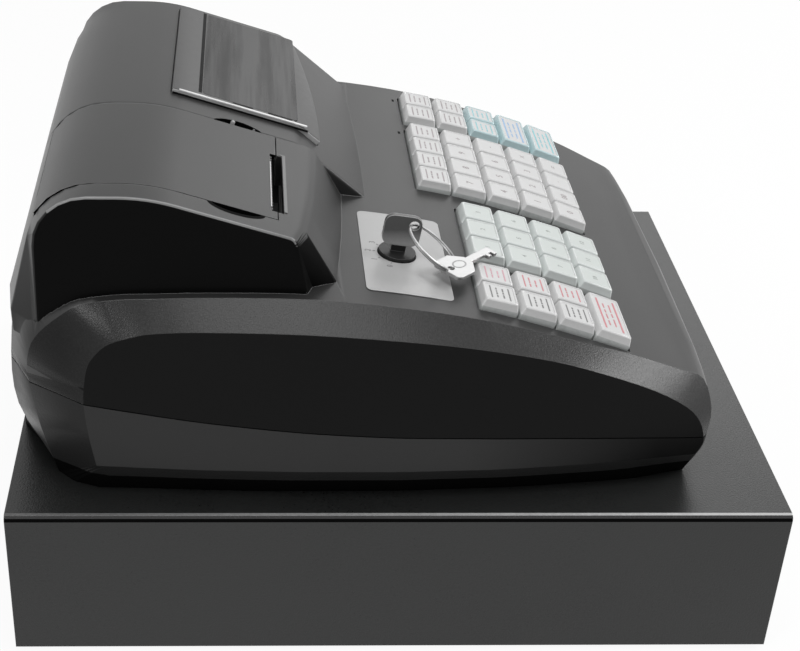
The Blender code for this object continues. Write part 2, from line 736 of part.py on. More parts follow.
def build_housing(steel):
    half_w = HOUSING_WIDTH / 2
    half_d = HOUSING_DEPTH / 2
    shell = add_object("drawer_housing", box_mesh(
        "drawer_housing", ((-half_w, -half_d, FOOT_HEIGHT), (half_w, half_d, HOUSING_TOP))),
        material=steel)
    folds = shell.modifiers.new("folds", "BEVEL")
    folds.width = BEND_RADIUS
    folds.segments = BEND_STEPS
    folds.limit_method = "WEIGHT"
    weights = shell.data.attributes.new("bevel_weight_edge", "FLOAT", "EDGE")
    for edge in shell.data.edges:
        ends = [shell.data.vertices[i].co for i in edge.vertices]
        long_side = abs(ends[0].y - ends[1].y) > 0
        weights.data[edge.index].value = 1.0 if long_side and ends[0].z > FOOT_HEIGHT else 0.0
    cut(shell, "housing_cavity", box_mesh(
        "housing_cavity", ((-half_w + SHEET, -half_d - OVERRUN, FOOT_HEIGHT + SHEET),
                           (half_w - SHEET, half_d - SHEET, HOUSING_TOP - SHEET))))
    wall = half_w - SHEET / 2
    rails = [((side * wall, -half_d + RAIL_SETBACK, RAIL_LEVEL),
              (side * (half_w - SHEET - RAIL_WIDTH), half_d - SHEET / 2, RAIL_LEVEL + RAIL_HEIGHT))
             for side in (-1, 1)]
    rails = [tuple(zip(*[sorted(pair) for pair in zip(low, high)])) for low, high in rails]
    join(shell, "housing_rails", box_mesh("housing_rails", *rails))
    bm = bmesh.new()
    for x in (-half_w + FOOT_INSET, half_w - FOOT_INSET):
        for y in (-half_d + FOOT_INSET, half_d - FOOT_INSET):
            add_cylinder(bm, FOOT_RADIUS, (x, y, 0.0), (x, y, FOOT_HEIGHT + SHEET / 2),
                         FOOT_FACET_STEPS)
    join(shell, "housing_feet", mesh_from(bm, "housing_feet"))
    return shell


DRAWER_FRONT = -HOUSING_DEPTH / 2
PANEL_BACK = DRAWER_FRONT + PANEL_THICKNESS
PAN_FLOOR = FOOT_HEIGHT + SHEET + PANEL_MARGIN
PAN_TOP = PAN_FLOOR + PAN_HEIGHT
PAN_REAR = HOUSING_DEPTH / 2 - SHEET - PAN_TAIL_GAP
PAN_HALF = HOUSING_WIDTH / 2 - SHEET - RAIL_WIDTH - GAP


def build_drawer(steel):
    half_w = HOUSING_WIDTH / 2 - SHEET - PANEL_MARGIN
    drawer = add_object("drawer", box_mesh(
        "drawer", ((-half_w, DRAWER_FRONT, PAN_FLOOR),
                   (half_w, PANEL_BACK, HOUSING_TOP - SHEET - PANEL_MARGIN))), material=steel)
    join(drawer, "drawer_pan", box_mesh(
        "drawer_pan", ((-PAN_HALF, PANEL_BACK - PAN_SHEET, PAN_FLOOR),
                       (PAN_HALF, PAN_REAR, PAN_TOP))))
    cut(drawer, "drawer_hollow", box_mesh(
        "drawer_hollow", ((-PAN_HALF + PAN_SHEET, PANEL_BACK, PAN_FLOOR + PAN_SHEET),
                          (PAN_HALF - PAN_SHEET, PAN_REAR - PAN_SHEET, PAN_TOP + OVERRUN))))
    runner = RAIL_LEVEL + RAIL_HEIGHT + GAP
    inner = PAN_HALF - PAN_SHEET / 2
    outer = HOUSING_WIDTH / 2 - SHEET - PANEL_MARGIN
    runners = [((-outer, PANEL_BACK - PAN_SHEET, runner), (-inner, PAN_REAR, runner + RUNNER_SHEET)),
               ((inner, PANEL_BACK - PAN_SHEET, runner), (outer, PAN_REAR, runner + RUNNER_SHEET))]
    join(drawer, "drawer_runners", box_mesh("drawer_runners", *runners))
    cut(drawer, "drawer_grip", box_mesh(
        "drawer_grip", ((-GRIP_WIDTH / 2, DRAWER_FRONT - OVERRUN, PAN_FLOOR - OVERRUN),
                        (GRIP_WIDTH / 2, DRAWER_FRONT + GRIP_DEPTH, PAN_FLOOR + GRIP_HEIGHT))))
    cut(drawer, "drawer_lock_hole", cylinder_mesh(
        "drawer_lock_hole", LOCK_RADIUS + GAP, (0.0, DRAWER_FRONT - OVERRUN, LOCK_LEVEL),
        (0.0, PANEL_BACK + OVERRUN, LOCK_LEVEL), LOCK_FACET_STEPS))
    return drawer


def build_drawer_lock(metal):
    barrel = add_object("drawer_lock", cylinder_mesh(
        "drawer_lock", LOCK_RADIUS, (0.0, LOCK_RECESS, 0.0), (0.0, PANEL_THICKNESS, 0.0),
        LOCK_FACET_STEPS), material=metal)
    barrel.location = (0.0, DRAWER_FRONT, LOCK_LEVEL)
    cutter = add_cutter("drawer_lock_keyway", box_mesh(
        "drawer_lock_keyway", ((-KEYWAY_WIDTH / 2, -OVERRUN, -KEYWAY_HEIGHT / 2),
                               (KEYWAY_WIDTH / 2, KEYWAY_DEPTH, KEYWAY_HEIGHT / 2))))
    cutter.location = barrel.location
    boolean(barrel, cutter)
    shade_round(barrel)
    return barrel


TRAY_HALF = PAN_HALF - PAN_SHEET - GAP
TRAY_FRONT = PANEL_BACK + GAP
TRAY_REAR = PAN_REAR - PAN_SHEET - TRAY_REAR_GAP
TRAY_BASE = PAN_FLOOR + PAN_SHEET + GAP
TRAY_TOP = TRAY_BASE + TRAY_HEIGHT


def compartment_outline(y_from, y_to, floor, radius):
    top = TRAY_TOP + OVERRUN
    return fillet([(y_from, top, 0), (y_from, floor, radius), (y_to, floor, radius), (y_to, top, 0)])


def build_tray(plastic):
    tray = add_object("coin_tray", box_mesh(
        "coin_tray", ((-TRAY_HALF, TRAY_FRONT, TRAY_BASE), (TRAY_HALF, TRAY_REAR, TRAY_TOP))),
        material=plastic)
    coins_end = TRAY_FRONT + TRAY_WALL + COIN_CUP_LENGTH
    rows = [(COIN_CUPS, TRAY_FRONT + TRAY_WALL, coins_end, TRAY_BASE + COIN_FLOOR,
             COIN_SCOOP_RADIUS),
            (NOTE_BAYS, coins_end + TRAY_WALL, TRAY_REAR - TRAY_WALL, TRAY_BASE + TRAY_FLOOR,
             NOTE_SCOOP_RADIUS)]
    bm = bmesh.new()
    for count, y_from, y_to, floor, radius in rows:
        outline = compartment_outline(y_from, y_to, floor, radius)
        pitch = (2 * TRAY_HALF - TRAY_WALL) / count
        for i in range(count):
            left = -TRAY_HALF + TRAY_WALL + i * pitch
            add_loft(bm, [[(x, y, z) for y, z in outline] for x in (left, left + pitch - TRAY_WALL)])
    cut(tray, "tray_compartments", mesh_from(bm, "tray_compartments"))
    return tray


def build_lower_case(plastic):
    case = add_object("lower_case", casing_mesh("lower_case"), material=plastic)
    cut(case, "above_parting", parting_cutter("above_parting", False))
    reach = REAR_FACE + OVERRUN
    inner = REAR_FACE - CORD_HOLE_DEPTH
    cut(case, "cord_hole", cylinder_mesh(
        "cord_hole", CORD_HOLE_RADIUS, (CORD_HOLE_X, inner - CORD_HOLE_RADIUS, REAR_FITTING_LEVEL),
        (CORD_HOLE_X, reach, REAR_FITTING_LEVEL), CORD_FACET_STEPS))
    cut(case, "release_socket", box_mesh(
        "release_socket",
        ((SOCKET_X - SOCKET_WIDTH / 2, inner, REAR_FITTING_LEVEL - SOCKET_HEIGHT / 2),
         (SOCKET_X + SOCKET_WIDTH / 2, reach, REAR_FITTING_LEVEL + SOCKET_HEIGHT / 2))))
    return case


COVER_RIGHT = HOOD_STEP_X - GAP
FLAT_PROFILE = printer_outline(HOOD_STEP_X)


def notch_mesh(name, edge, side):
    """Crescent finger notch beside the cover's edge, flat on the cover's side."""
    angle = 2 * math.atan2(NOTCH_REACH, NOTCH_LENGTH / 2)
    radius = NOTCH_LENGTH / 2 / math.sin(angle)
    centre_x = edge - side * (radius - NOTCH_REACH)
    points = []
    for turn in spread(-angle, angle, NOTCH_FACET_STEPS + 1):
        y = NOTCH_CENTRE_Y + radius * math.sin(turn)
        points.append((centre_x + side * radius * math.cos(turn), y))
    rings = []
    for offset in (OVERRUN, -NOTCH_DEPTH):
        rings.append([(x, y, on_profile(FLAT_PROFILE, y)[0] + offset) for x, y in points])
    return loft_mesh(name, rings)


def build_upper_case(plastic):
    case = add_object("upper_case", casing_mesh("upper_case"), material=plastic)
    cut(case, "below_parting", parting_cutter("below_parting", True))
    boolean(case, display_hood(), "UNION")
    boolean(case, printer_hood(), "UNION")
    cut(case, "hinge_trough", cylinder_mesh(
        "hinge_trough", HINGE_RELIEF, (COVER_LEFT - COVER_SEAM - GAP, HINGE_Y, HINGE_Z),
        (COVER_RIGHT + COVER_SEAM + GAP, HINGE_Y, HINGE_Z), TROUGH_FACET_STEPS))
    reach = COVER_SEAM + HINGE_PIN_SEAT + GAP
    cut(case, "hinge_sockets", cylinder_mesh(
        "hinge_sockets", HINGE_PIN_RADIUS + GAP, (COVER_LEFT - reach, HINGE_Y, HINGE_Z),
        (COVER_RIGHT + reach, HINGE_Y, HINGE_Z), PIN_FACET_STEPS))
    seat = spread(COVER_FRONT_Y - COVER_SEAM, COVER_REAR_Y + COVER_SEAM, COVER_STATIONS)
    cut(case, "cover_seat", skin_mesh(
        "cover_seat", FLAT_PROFILE, COVER_LEFT - COVER_SEAM, COVER_RIGHT + COVER_SEAM, seat,
        OVERRUN, -COVER_THICKNESS - GAP))
    roof = HOOD_CREST + OVERRUN
    well = [(BAY_FRONT_Y, BAY_FLOOR), (ROLL_Y - ROLL_RADIUS - RUNNING_GAP, BAY_FLOOR),
            (ROLL_Y - ROLL_RADIUS - RUNNING_GAP, ROLL_Z), (BAY_REAR_Y, ROLL_Z),
            (BAY_REAR_Y, roof), (COVER_FRONT_Y + GAP, roof), (COVER_FRONT_Y + GAP, PLATEN_Z),
            (BAY_FRONT_Y, PLATEN_Z)]
    cut(case, "paper_bay", prism_mesh("paper_bay", well, BAY_LEFT, BAY_RIGHT))
    cut(case, "roll_cradle", cylinder_mesh(
        "roll_cradle", ROLL_RADIUS + RUNNING_GAP, (BAY_LEFT, ROLL_Y, ROLL_Z),
        (BAY_RIGHT, ROLL_Y, ROLL_Z), CRADLE_FACET_STEPS))
    cut(case, "paper_slot", box_mesh(
        "paper_slot", ((SLOT_LEFT, SLOT_FRONT_Y, PLATEN_Z - GAP), (SLOT_RIGHT, SLOT_REAR_Y, roof))))
    cut(case, "left_notch", notch_mesh("left_notch", COVER_LEFT, -1))
    cut(case, "right_notch", notch_mesh("right_notch", COVER_RIGHT, 1))
    cut(case, "key_wells", well_mesh("key_wells"))
    cut(case, "key_guides", guide_mesh("key_guides"))
    lock_point, lock_slope = mode_lock_frame()
    cutter = add_cutter("mode_lock_hole", cylinder_mesh(
        "mode_lock_hole", MODE_RADIUS + GAP, (0.0, 0.0, -MODE_DEPTH - GAP), (0.0, 0.0, OVERRUN),
        PLUG_FACET_STEPS))
    cutter.location = lock_point
    cutter.rotation_euler = (lock_slope, 0.0, 0.0)
    boolean(case, cutter)
    cut(case, "window_bed", window_mesh("window_bed", OVERRUN, -WINDOW_BED - GAP, GAP))
    return case


def window_mesh(name, outer, inner, margin):
    """Slab over the display slope, with a front edge bowed like the visor."""
    rings = []
    for x in spread(WINDOW_LEFT - margin, WINDOW_RIGHT + margin, WINDOW_STATIONS):
        front = WINDOW_FRONT_Y + arc_drop(x, WINDOW_FRONT_PLAN_RADIUS) - margin
        stations = spread(front, WINDOW_REAR_Y + margin, COVER_STATIONS)
        rings.append(skin_ring(visor_outline(x), x, stations, outer, inner))
    return loft_mesh(name, rings)


def build_window(glass):
    window = add_object("display_window", window_mesh("display_window", WINDOW_RAISE, -WINDOW_BED, 0.0),
                        material=glass)
    soften(window, WINDOW_RAISE / 3, math.radians(40.0))
    return window


def build_cover(plastic):
    """Cover with side skirts, hinge lugs and pin, and the serrated tear bar at the slot."""
    pivot = Vector((0.0, HINGE_Y, HINGE_Z))
    stations = spread(COVER_FRONT_Y, COVER_REAR_Y, COVER_STATIONS)
    skin = skin_mesh("printer_cover", FLAT_PROFILE, COVER_LEFT, COVER_RIGHT, stations,
                     0.0, -COVER_THICKNESS)
    skin.transform(Matrix.Translation(-pivot))
    cover = add_object("printer_cover", skin, material=plastic)
    cover.location = pivot
    bm = bmesh.new()
    skirt = spread(COVER_SKIRT_FRONT_Y, COVER_SKIRT_REAR_Y, COVER_STATIONS // 2)
    for left in (BAY_LEFT + RUNNING_GAP, BAY_RIGHT - RUNNING_GAP - COVER_SKIRT_WALL):
        add_loft(bm, [skin_ring(FLAT_PROFILE, x, skirt, -COVER_THICKNESS / 2, -COVER_SKIRT_DEPTH)
                      for x in (left, left + COVER_SKIRT_WALL)])
    join(cover, "cover_skirts", mesh_from(bm, "cover_skirts"))
    bm = bmesh.new()
    for left in (COVER_LEFT + RUNNING_GAP, COVER_RIGHT - RUNNING_GAP - HINGE_LUG_WIDTH):
        add_cylinder(bm, HINGE_LUG_RADIUS, (left, HINGE_Y, HINGE_Z),
                     (left + HINGE_LUG_WIDTH, HINGE_Y, HINGE_Z), LUG_FACET_STEPS)
    join(cover, "cover_lugs", mesh_from(bm, "cover_lugs"))
    reach = COVER_SEAM + HINGE_PIN_SEAT
    join(cover, "cover_pin", cylinder_mesh(
        "cover_pin", HINGE_PIN_RADIUS, (COVER_LEFT - reach, HINGE_Y, HINGE_Z),
        (COVER_RIGHT + reach, HINGE_Y, HINGE_Z), PIN_FACET_STEPS))
    cut(cover, "cover_slot", box_mesh(
        "cover_slot", ((SLOT_LEFT, COVER_FRONT_Y - OVERRUN, PLATEN_Z),
                       (SLOT_RIGHT, SLOT_REAR_Y, HOOD_CREST))))
    join(cover, "tear_bar", tear_bar_mesh("tear_bar"))
    return cover


def tear_bar_mesh(name):
    """Serrated strip along the cover's edge of the slot."""
    count = int((SLOT_RIGHT - SLOT_LEFT) / TEAR_TOOTH_PITCH)
    start = (SLOT_LEFT + SLOT_RIGHT - count * TEAR_TOOTH_PITCH) / 2
    edge = [(start, SLOT_REAR_Y)]
    for i in range(count):
        left = start + i * TEAR_TOOTH_PITCH
        edge.append((left + TEAR_TOOTH_PITCH / 2, SLOT_REAR_Y - TEAR_TOOTH_DEPTH))
        edge.append((left + TEAR_TOOTH_PITCH, SLOT_REAR_Y))
    back = SLOT_REAR_Y + COVER_THICKNESS
    plan = edge + [(edge[-1][0], back), (edge[0][0], back)]
    top = on_profile(FLAT_PROFILE, SLOT_REAR_Y)[0] - COVER_THICKNESS / 2
    return loft_mesh(name, [[(x, y, z) for x, y in plan] for z in (top - TEAR_BAR_DEPTH, top)])


def build_roll(paper):
    half = ROLL_LENGTH / 2
    profile = bmesh.new()
    points = [(ROLL_CORE_RADIUS, -half), (ROLL_RADIUS, -half), (ROLL_RADIUS, half),
              (ROLL_CORE_RADIUS, half)]
    turned = turned_object("paper_roll", profile, points, ROLL_FACET_STEPS, paper)
    turned.rotation_euler = (0.0, math.pi / 2, 0.0)
    turned.location = ((BAY_LEFT + BAY_RIGHT) / 2, ROLL_Y, ROLL_Z)
    return turned


def turned_object(name, bm, points, steps, material, collection=PARTS):
    """A closed profile of (radius, height) points turned about Z by a Screw modifier."""
    verts = [bm.verts.new((radius, 0.0, height)) for radius, height in points]
    closed = points[0][0] > 0
    for a, b in zip(verts, verts[1:] + verts[:1] if closed else verts[1:]):
        bm.edges.new((a, b))
    mesh = bpy.data.meshes.new(name)
    bm.to_mesh(mesh)
    bm.free()
    turned = add_object(name, mesh, collection, material)
    screw = turned.modifiers.new("turn", "SCREW")
    screw.steps = steps
    screw.render_steps = steps
    screw.use_merge_vertices = True
    screw.merge_threshold = MERGE_DISTANCE
    screw.use_normal_calculate = True
    screw.use_normal_flip = True
    return turned


def build_platen(rubber):
    end = (BAY_RIGHT - BAY_LEFT) / 2 - 2 * RUNNING_GAP
    roller = PLATEN_LENGTH / 2
    gear = roller + PLATEN_GEAR_WIDTH
    points = [(0.0, end), (PLATEN_SHAFT_RADIUS, end), (PLATEN_SHAFT_RADIUS, gear),
              (PLATEN_GEAR_RADIUS, gear), (PLATEN_GEAR_RADIUS, roller + RUNNING_GAP),
              (PLATEN_RADIUS, roller), (PLATEN_RADIUS, -roller), (PLATEN_SHAFT_RADIUS, -roller),
              (PLATEN_SHAFT_RADIUS, -end), (0.0, -end)]
    platen = turned_object("platen_roller", bmesh.new(), points, PLATEN_FACET_STEPS, rubber)
    platen.rotation_euler = (0.0, math.pi / 2, 0.0)
    platen.location = ((BAY_LEFT + BAY_RIGHT) / 2, PLATEN_Y, PLATEN_Z)
    return platen


def build_mechanism(metal):
    """Printer chassis: base, two cheeks with bearing slots, and the leaning print head."""
    left = BAY_LEFT + GAP
    right = BAY_RIGHT - GAP
    front = BAY_FRONT_Y + GAP
    base = BAY_FLOOR + GAP
    cheek_top = PLATEN_Z + MECHANISM_CHEEK_TOP / 2
    chassis = add_object("print_mechanism", box_mesh(
        "print_mechanism", ((left, front, base), (right, MECHANISM_REAR_Y, base + MECHANISM_BASE))),
        material=metal)
    cheeks = []
    for x in (left, right - MECHANISM_CHEEK):
        cheeks.append(((x, PLATEN_Y - MECHANISM_CHEEK_TOP, base + MECHANISM_BASE / 2),
                       (x + MECHANISM_CHEEK, MECHANISM_REAR_Y - MECHANISM_CHEEK, cheek_top)))
    join(chassis, "mechanism_cheeks", box_mesh("mechanism_cheeks", *cheeks))
    bearing = PLATEN_SHAFT_RADIUS + GAP
    cut(chassis, "mechanism_slots", box_mesh(
        "mechanism_slots", ((left - OVERRUN, PLATEN_Y - bearing, PLATEN_Z),
                            (right + OVERRUN, PLATEN_Y + bearing, cheek_top + OVERRUN))))
    cut(chassis, "mechanism_bearings", cylinder_mesh(
        "mechanism_bearings", bearing, (left - OVERRUN, PLATEN_Y, PLATEN_Z),
        (right + OVERRUN, PLATEN_Y, PLATEN_Z), BEARING_FACET_STEPS))
    head_y = PLATEN_Y + PLATEN_RADIUS + 2 * RUNNING_GAP
    lean = HEAD_LEAN * HEAD_HEIGHT
    outline = [(head_y, PLATEN_Z + HEAD_HEIGHT / 4), (head_y + HEAD_THICKNESS, PLATEN_Z + HEAD_HEIGHT / 4),
               (head_y + HEAD_THICKNESS + lean, base + MECHANISM_BASE / 2),
               (head_y + lean, base + MECHANISM_BASE / 2)]
    join(chassis, "mechanism_head", prism_mesh(
        "mechanism_head", outline, left + MECHANISM_CHEEK / 2, right - MECHANISM_CHEEK / 2))
    return chassis


def mode_lock_frame():
    slope = math.asin((DECK_CREST_Y - MODE_Y) / DECK_ARC_RADIUS)
    point, _ = deck_frame(slope * DECK_ARC_RADIUS, MODE_X)
    return point, slope


def key_head_outline(width, height, corner):
    """Flat key head in (across, up) points, from the neck round to the neck."""
    half = width / 2
    return fillet([(-half, 0.0, corner), (half, 0.0, corner), (half, height, corner),
                   (-half, height, corner)])


def key_hole_height():
    return MODE_COLLAR + KEY_NECK + KEY_HEAD_HEIGHT - KEY_HOLE_EDGE


def build_mode_key(metal):
    """Lock plug with the operator's key standing in it."""
    point, slope = mode_lock_frame()
    turn = Matrix.Translation(point) @ Matrix.Rotation(slope, 4, "X")
    plug = add_object("mode_key", cylinder_mesh(
        "mode_key", MODE_RADIUS, (0.0, 0.0, -MODE_DEPTH), (0.0, 0.0, MODE_COLLAR),
        PLUG_FACET_STEPS), material=metal)
    plug.matrix_world = turn
    head_base = MODE_COLLAR + KEY_NECK
    half = KEY_HEAD_THICKNESS / 2
    blade = box_mesh("mode_key_blade", (
        (-KEY_BLADE_THICKNESS / 2, -KEY_BLADE_WIDTH / 2, 0.0),
        (KEY_BLADE_THICKNESS / 2, KEY_BLADE_WIDTH / 2, head_base + KEY_HEAD_CORNER)))
    head = [(y, z + head_base) for y, z in
            key_head_outline(KEY_HEAD_WIDTH, KEY_HEAD_HEIGHT, KEY_HEAD_CORNER)]
    hole = cylinder_mesh("mode_key_hole", KEY_HOLE_RADIUS,
                         (-OVERRUN, -KEY_HOLE_OFFSET, key_hole_height()),
                         (OVERRUN, -KEY_HOLE_OFFSET, key_hole_height()), HOLE_FACET_STEPS)
    for name, mesh, operation in (
            ("mode_key_blade", blade, "UNION"),
            ("mode_key_head", prism_mesh("mode_key_head", head, -half, half), "UNION"),
            ("mode_key_hole", hole, "DIFFERENCE")):
        cutter = add_cutter(name, mesh)
        cutter.matrix_world = turn
        boolean(plug, cutter, operation)
    return plug


def spare_key_frames(turn):
    """Frame of the spare key, with X along its blade, and frame of the ring it hangs on."""
    hook = Vector((0.0, -KEY_HOLE_OFFSET, key_hole_height()))
    eye = Vector(SPARE_EYE)
    lie = Matrix.Rotation(SPARE_HEADING, 4, "Z") @ Matrix.Rotation(-SPARE_RISE, 4, "Y")
    span = (eye - hook).normalized()
    across = Vector((1.0, 0.0, 0.0))
    across = (across - span * across.dot(span)).normalized()
    ring = Matrix((span, across, span.cross(across))).transposed().to_4x4()
    ring.translation = (hook + eye) / 2
    return turn @ Matrix.Translation(eye) @ lie, turn @ ring, (eye - hook).length / 2


def spare_plan():
    """Outline of the spare key's head, from its eye end to the neck of the blade."""
    half = SPARE_HEAD_WIDTH / 2
    start = -SPARE_EYE_EDGE
    end = start + SPARE_HEAD_LENGTH
    corner = SPARE_HEAD_LENGTH / 3
    return fillet([(start, -half, corner / 2), (end - corner, -half, 0), (end, -half + corner, 0),
                   (end, half - corner, 0), (end - corner, half, 0), (start, half, corner / 2)])


def build_spare_key(metal):
    """Spare key that hangs from the inserted key by a wire ring, just clear of the key tops."""
    point, slope = mode_lock_frame()
    turn = Matrix.Translation(point) @ Matrix.Rotation(slope, 4, "X")
    lie, ring_turn, ring_radius = spare_key_frames(turn)
    half = SPARE_THICKNESS / 2
    spare = add_object("spare_key", loft_mesh(
        "spare_key", [[(x, y, z) for x, y in spare_plan()] for z in (-half, half)]), material=metal)
    spare.matrix_world = lie
    neck = SPARE_HEAD_LENGTH - SPARE_EYE_EDGE
    blade = SPARE_BLADE_WIDTH / 2
    tip = neck + SPARE_BLADE_LENGTH
    boxes = [((neck - half, -blade, -half), (tip, blade, half))]
    for i in range(SPARE_BITS):
        left = tip - BIT_WIDTH - i * BIT_PITCH
        boxes.append(((left, -blade - BIT_DEPTH, -half), (left + BIT_WIDTH, -blade + half, half)))
    for i, (low, high) in enumerate(boxes):
        cutter = add_cutter("spare_blade_%d" % i, box_mesh("spare_blade_%d" % i, (low, high)))
        cutter.matrix_world = lie
        boolean(spare, cutter, "UNION")
    eye = add_cutter("spare_eye", cylinder_mesh("spare_eye", SPARE_EYE_RADIUS, (0.0, 0.0, -OVERRUN),
                                                (0.0, 0.0, OVERRUN), PIN_FACET_STEPS))
    eye.matrix_world = lie
    boolean(spare, eye)
    wire = [(ring_radius + RING_WIRE * math.cos(turn), RING_WIRE * math.sin(turn))
            for turn in spread(0.0, 2 * math.pi, WIRE_FACET_STEPS + 1)[:-1]]
    ring = turned_object("key_ring", bmesh.new(), wire, RING_FACET_STEPS, None, CUTTERS)
    ring.matrix_world = ring_turn
    boolean(spare, ring, "UNION")
    return spare


def build_keys(plastic):
    meshes = {}
    for name, row, left, width in keyboard_layout():
        size = round(width / COLUMN_PITCH)
        if size not in meshes:
            meshes[size] = loft_mesh("key_%d_wide" % size, key_rings(width))
            meshes[size].materials.append(plastic)
        key = bpy.data.objects.new(name, meshes[size])
        PARTS.objects.link(key)
        point, slope = deck_frame(row_arc(row), left + width / 2)
        key.location = point
        key.rotation_euler = (slope, 0.0, 0.0)


def build():
    steel = make_material("painted_steel", (0.035, 0.037, 0.036), 0.50, 0.0)
    drawer_steel = make_material("drawer_steel", (0.035, 0.037, 0.036), 0.50, 0.0)
    casing = make_material("charcoal_casing", (0.025, 0.025, 0.026), 0.42)
    lower = make_material("charcoal_lower_casing", (0.020, 0.020, 0.021), 0.45)
    cover = make_material("charcoal_cover", (0.025, 0.025, 0.026), 0.40)
    glass = make_material("smoked_window", (0.010, 0.010, 0.011), 0.08)
    tray = make_material("tray_plastic", (0.020, 0.020, 0.020), 0.55)
    lock = make_material("lock_metal", (0.55, 0.55, 0.54), 0.30, 1.0)
    key_metal = make_material("key_metal", (0.12, 0.12, 0.12), 0.35, 1.0)
    spare_metal = make_material("spare_key_metal", (0.75, 0.75, 0.74), 0.25, 1.0)
    paper = make_material("paper", (0.85, 0.85, 0.82), 0.80)
    rubber = make_material("platen_rubber", (0.03, 0.03, 0.03), 0.70)
    chassis = make_material("chassis_metal", (0.40, 0.40, 0.40), 0.40, 1.0)
    key_cap = make_material("key_cap", (0.66, 0.67, 0.66), 0.30)
    build_housing(steel)
    build_drawer(drawer_steel)
    build_drawer_lock(lock)
    build_tray(tray)
    build_lower_case(lower)
    build_upper_case(casing)
    build_window(glass)
    build_cover(cover)
    build_roll(paper)
    build_platen(rubber)
    build_mechanism(chassis)
    build_mode_key(key_metal)
    build_spare_key(spare_metal)
    build_keys(key_cap)


build()
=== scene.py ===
import json
import math

import bmesh
import bpy
from mathutils import Matrix, Vector

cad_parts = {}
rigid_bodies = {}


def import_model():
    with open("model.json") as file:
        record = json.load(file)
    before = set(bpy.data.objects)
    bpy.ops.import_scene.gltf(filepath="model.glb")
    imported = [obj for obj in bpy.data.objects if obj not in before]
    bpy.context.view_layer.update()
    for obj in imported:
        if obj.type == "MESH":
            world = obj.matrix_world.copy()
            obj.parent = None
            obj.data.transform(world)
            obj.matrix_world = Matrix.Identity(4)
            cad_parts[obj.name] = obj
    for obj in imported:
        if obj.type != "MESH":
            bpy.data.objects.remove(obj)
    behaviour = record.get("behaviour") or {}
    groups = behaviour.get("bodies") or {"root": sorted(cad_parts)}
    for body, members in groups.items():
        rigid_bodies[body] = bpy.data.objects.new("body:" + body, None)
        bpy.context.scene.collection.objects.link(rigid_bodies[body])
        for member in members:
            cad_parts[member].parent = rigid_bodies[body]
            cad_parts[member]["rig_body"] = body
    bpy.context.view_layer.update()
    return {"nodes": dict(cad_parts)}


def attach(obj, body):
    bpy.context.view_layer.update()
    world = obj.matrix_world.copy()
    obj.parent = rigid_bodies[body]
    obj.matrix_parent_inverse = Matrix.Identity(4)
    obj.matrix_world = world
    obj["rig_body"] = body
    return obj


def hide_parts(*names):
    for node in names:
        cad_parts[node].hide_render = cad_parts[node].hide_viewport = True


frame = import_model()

NODES = frame["nodes"]

# Deck that the keyboard and the lock plate lie on
DECK_CREST_Y = 0.075
DECK_LEVEL = 0.195
DECK_RADIUS = 0.500
# Slope of the hood's top
HOOD_CREST = 0.245
SLOPE_START_Y = 0.1227
SLOPE_FALL = 0.309
# Half widths of the case at its side panels, and of the deck inside the rim, as (y, x)
PANEL_HALF = ((-0.20, 0.1235), (-0.15, 0.1346), (-0.10, 0.1427), (-0.05, 0.1478), (0.0, 0.1499),
              (0.05, 0.1499), (0.10, 0.1483), (0.16, 0.1441))
DECK_HALF = ((-0.20, 0.1087), (-0.15, 0.1198), (-0.10, 0.1279), (-0.05, 0.1330), (0.0, 0.1349),
             (0.05, 0.1350), (0.20, 0.1345))
# Keyboard, with the same names and places as the CAD keys
ROW_PITCH = 0.0200
FIRST_ROW_ARC = 0.1020
ROWS = 5
COLUMN_PITCH = 0.0192
GROUP_LEFT_EDGES = {"a": 0.0826, "b": -0.0027, "c": -0.0765, "d": -0.1236}
KEY_GROUPS = (("a", 2, 1, (4, 5)), ("b", 4, 1, ()), ("c", 3, 2, ()), ("d", 2, 2, (5,)))


# Node helpers

# Places of a Mix node's sockets when it mixes colours
MIX_FACTOR, MIX_FIRST, MIX_SECOND, MIX_RESULT = 0, 6, 7, 2
# Moulded plastic: scale of its clouds, specks as a share of the grain, and what both add to its roughness
CLOUD_SCALE = 9.0
SPECK_SHARE = 0.6
CLOUD_ROUGHNESS = 0.04
SPECK_ROUGHNESS = 0.05
GRAIN_STRENGTH = 0.5
# Edges lightened by wear and a painted highlight: scale of the patches, and the least and the most lightening
WEAR_AND_HIGHLIGHT_SCALE = 140.0
WEAR_AND_HIGHLIGHT_LEAST = 2.0
WEAR_AND_HIGHLIGHT_MOST = 8.0
# Rays that find a rounded edge, in plastic and in metal
MOULDED_EDGE_RAYS = 6
METAL_EDGE_RAYS = 4
# Metal: width of its scratches as a share of their length, and their relief
SCRATCH_STRETCH = 0.05
SCRATCH_STRENGTH = 0.15
SCRATCH_HEIGHT = 0.00005


def feed(tree, socket, value):
    """Links another node's output to a socket, or sets the socket's own value."""
    if hasattr(value, "is_output"):
        tree.links.new(value, socket)
    else:
        socket.default_value = value


def node(tree, kind, **inputs):
    """Node with its inputs fed; an underscore stands for the space in an input's name."""
    made = tree.nodes.new(kind)
    for key, value in inputs.items():
        feed(tree, made.inputs[key.replace("_", " ")], value)
    return made


def grey(value):
    return (value, value, value, 1.0)


def coordinates(tree):
    return tree.nodes.new("ShaderNodeTexCoord").outputs["Object"]


def noise(tree, scale, detail=3.0, roughness=0.55):
    return node(tree, "ShaderNodeTexNoise", Vector=coordinates(tree), Scale=scale,
                Detail=detail, Roughness=roughness).outputs["Fac"]


def map_range(tree, value, from_low, from_high, to_low, to_high):
    made = node(tree, "ShaderNodeMapRange", Value=value, From_Min=from_low, From_Max=from_high)
    made.inputs["To Min"].default_value = to_low
    made.inputs["To Max"].default_value = to_high
    return made.outputs["Result"]


def ramp(tree, value, low, high):
    """Value from 0 to 1 mapped to the range from low to high."""
    return map_range(tree, value, 0.0, 1.0, low, high)


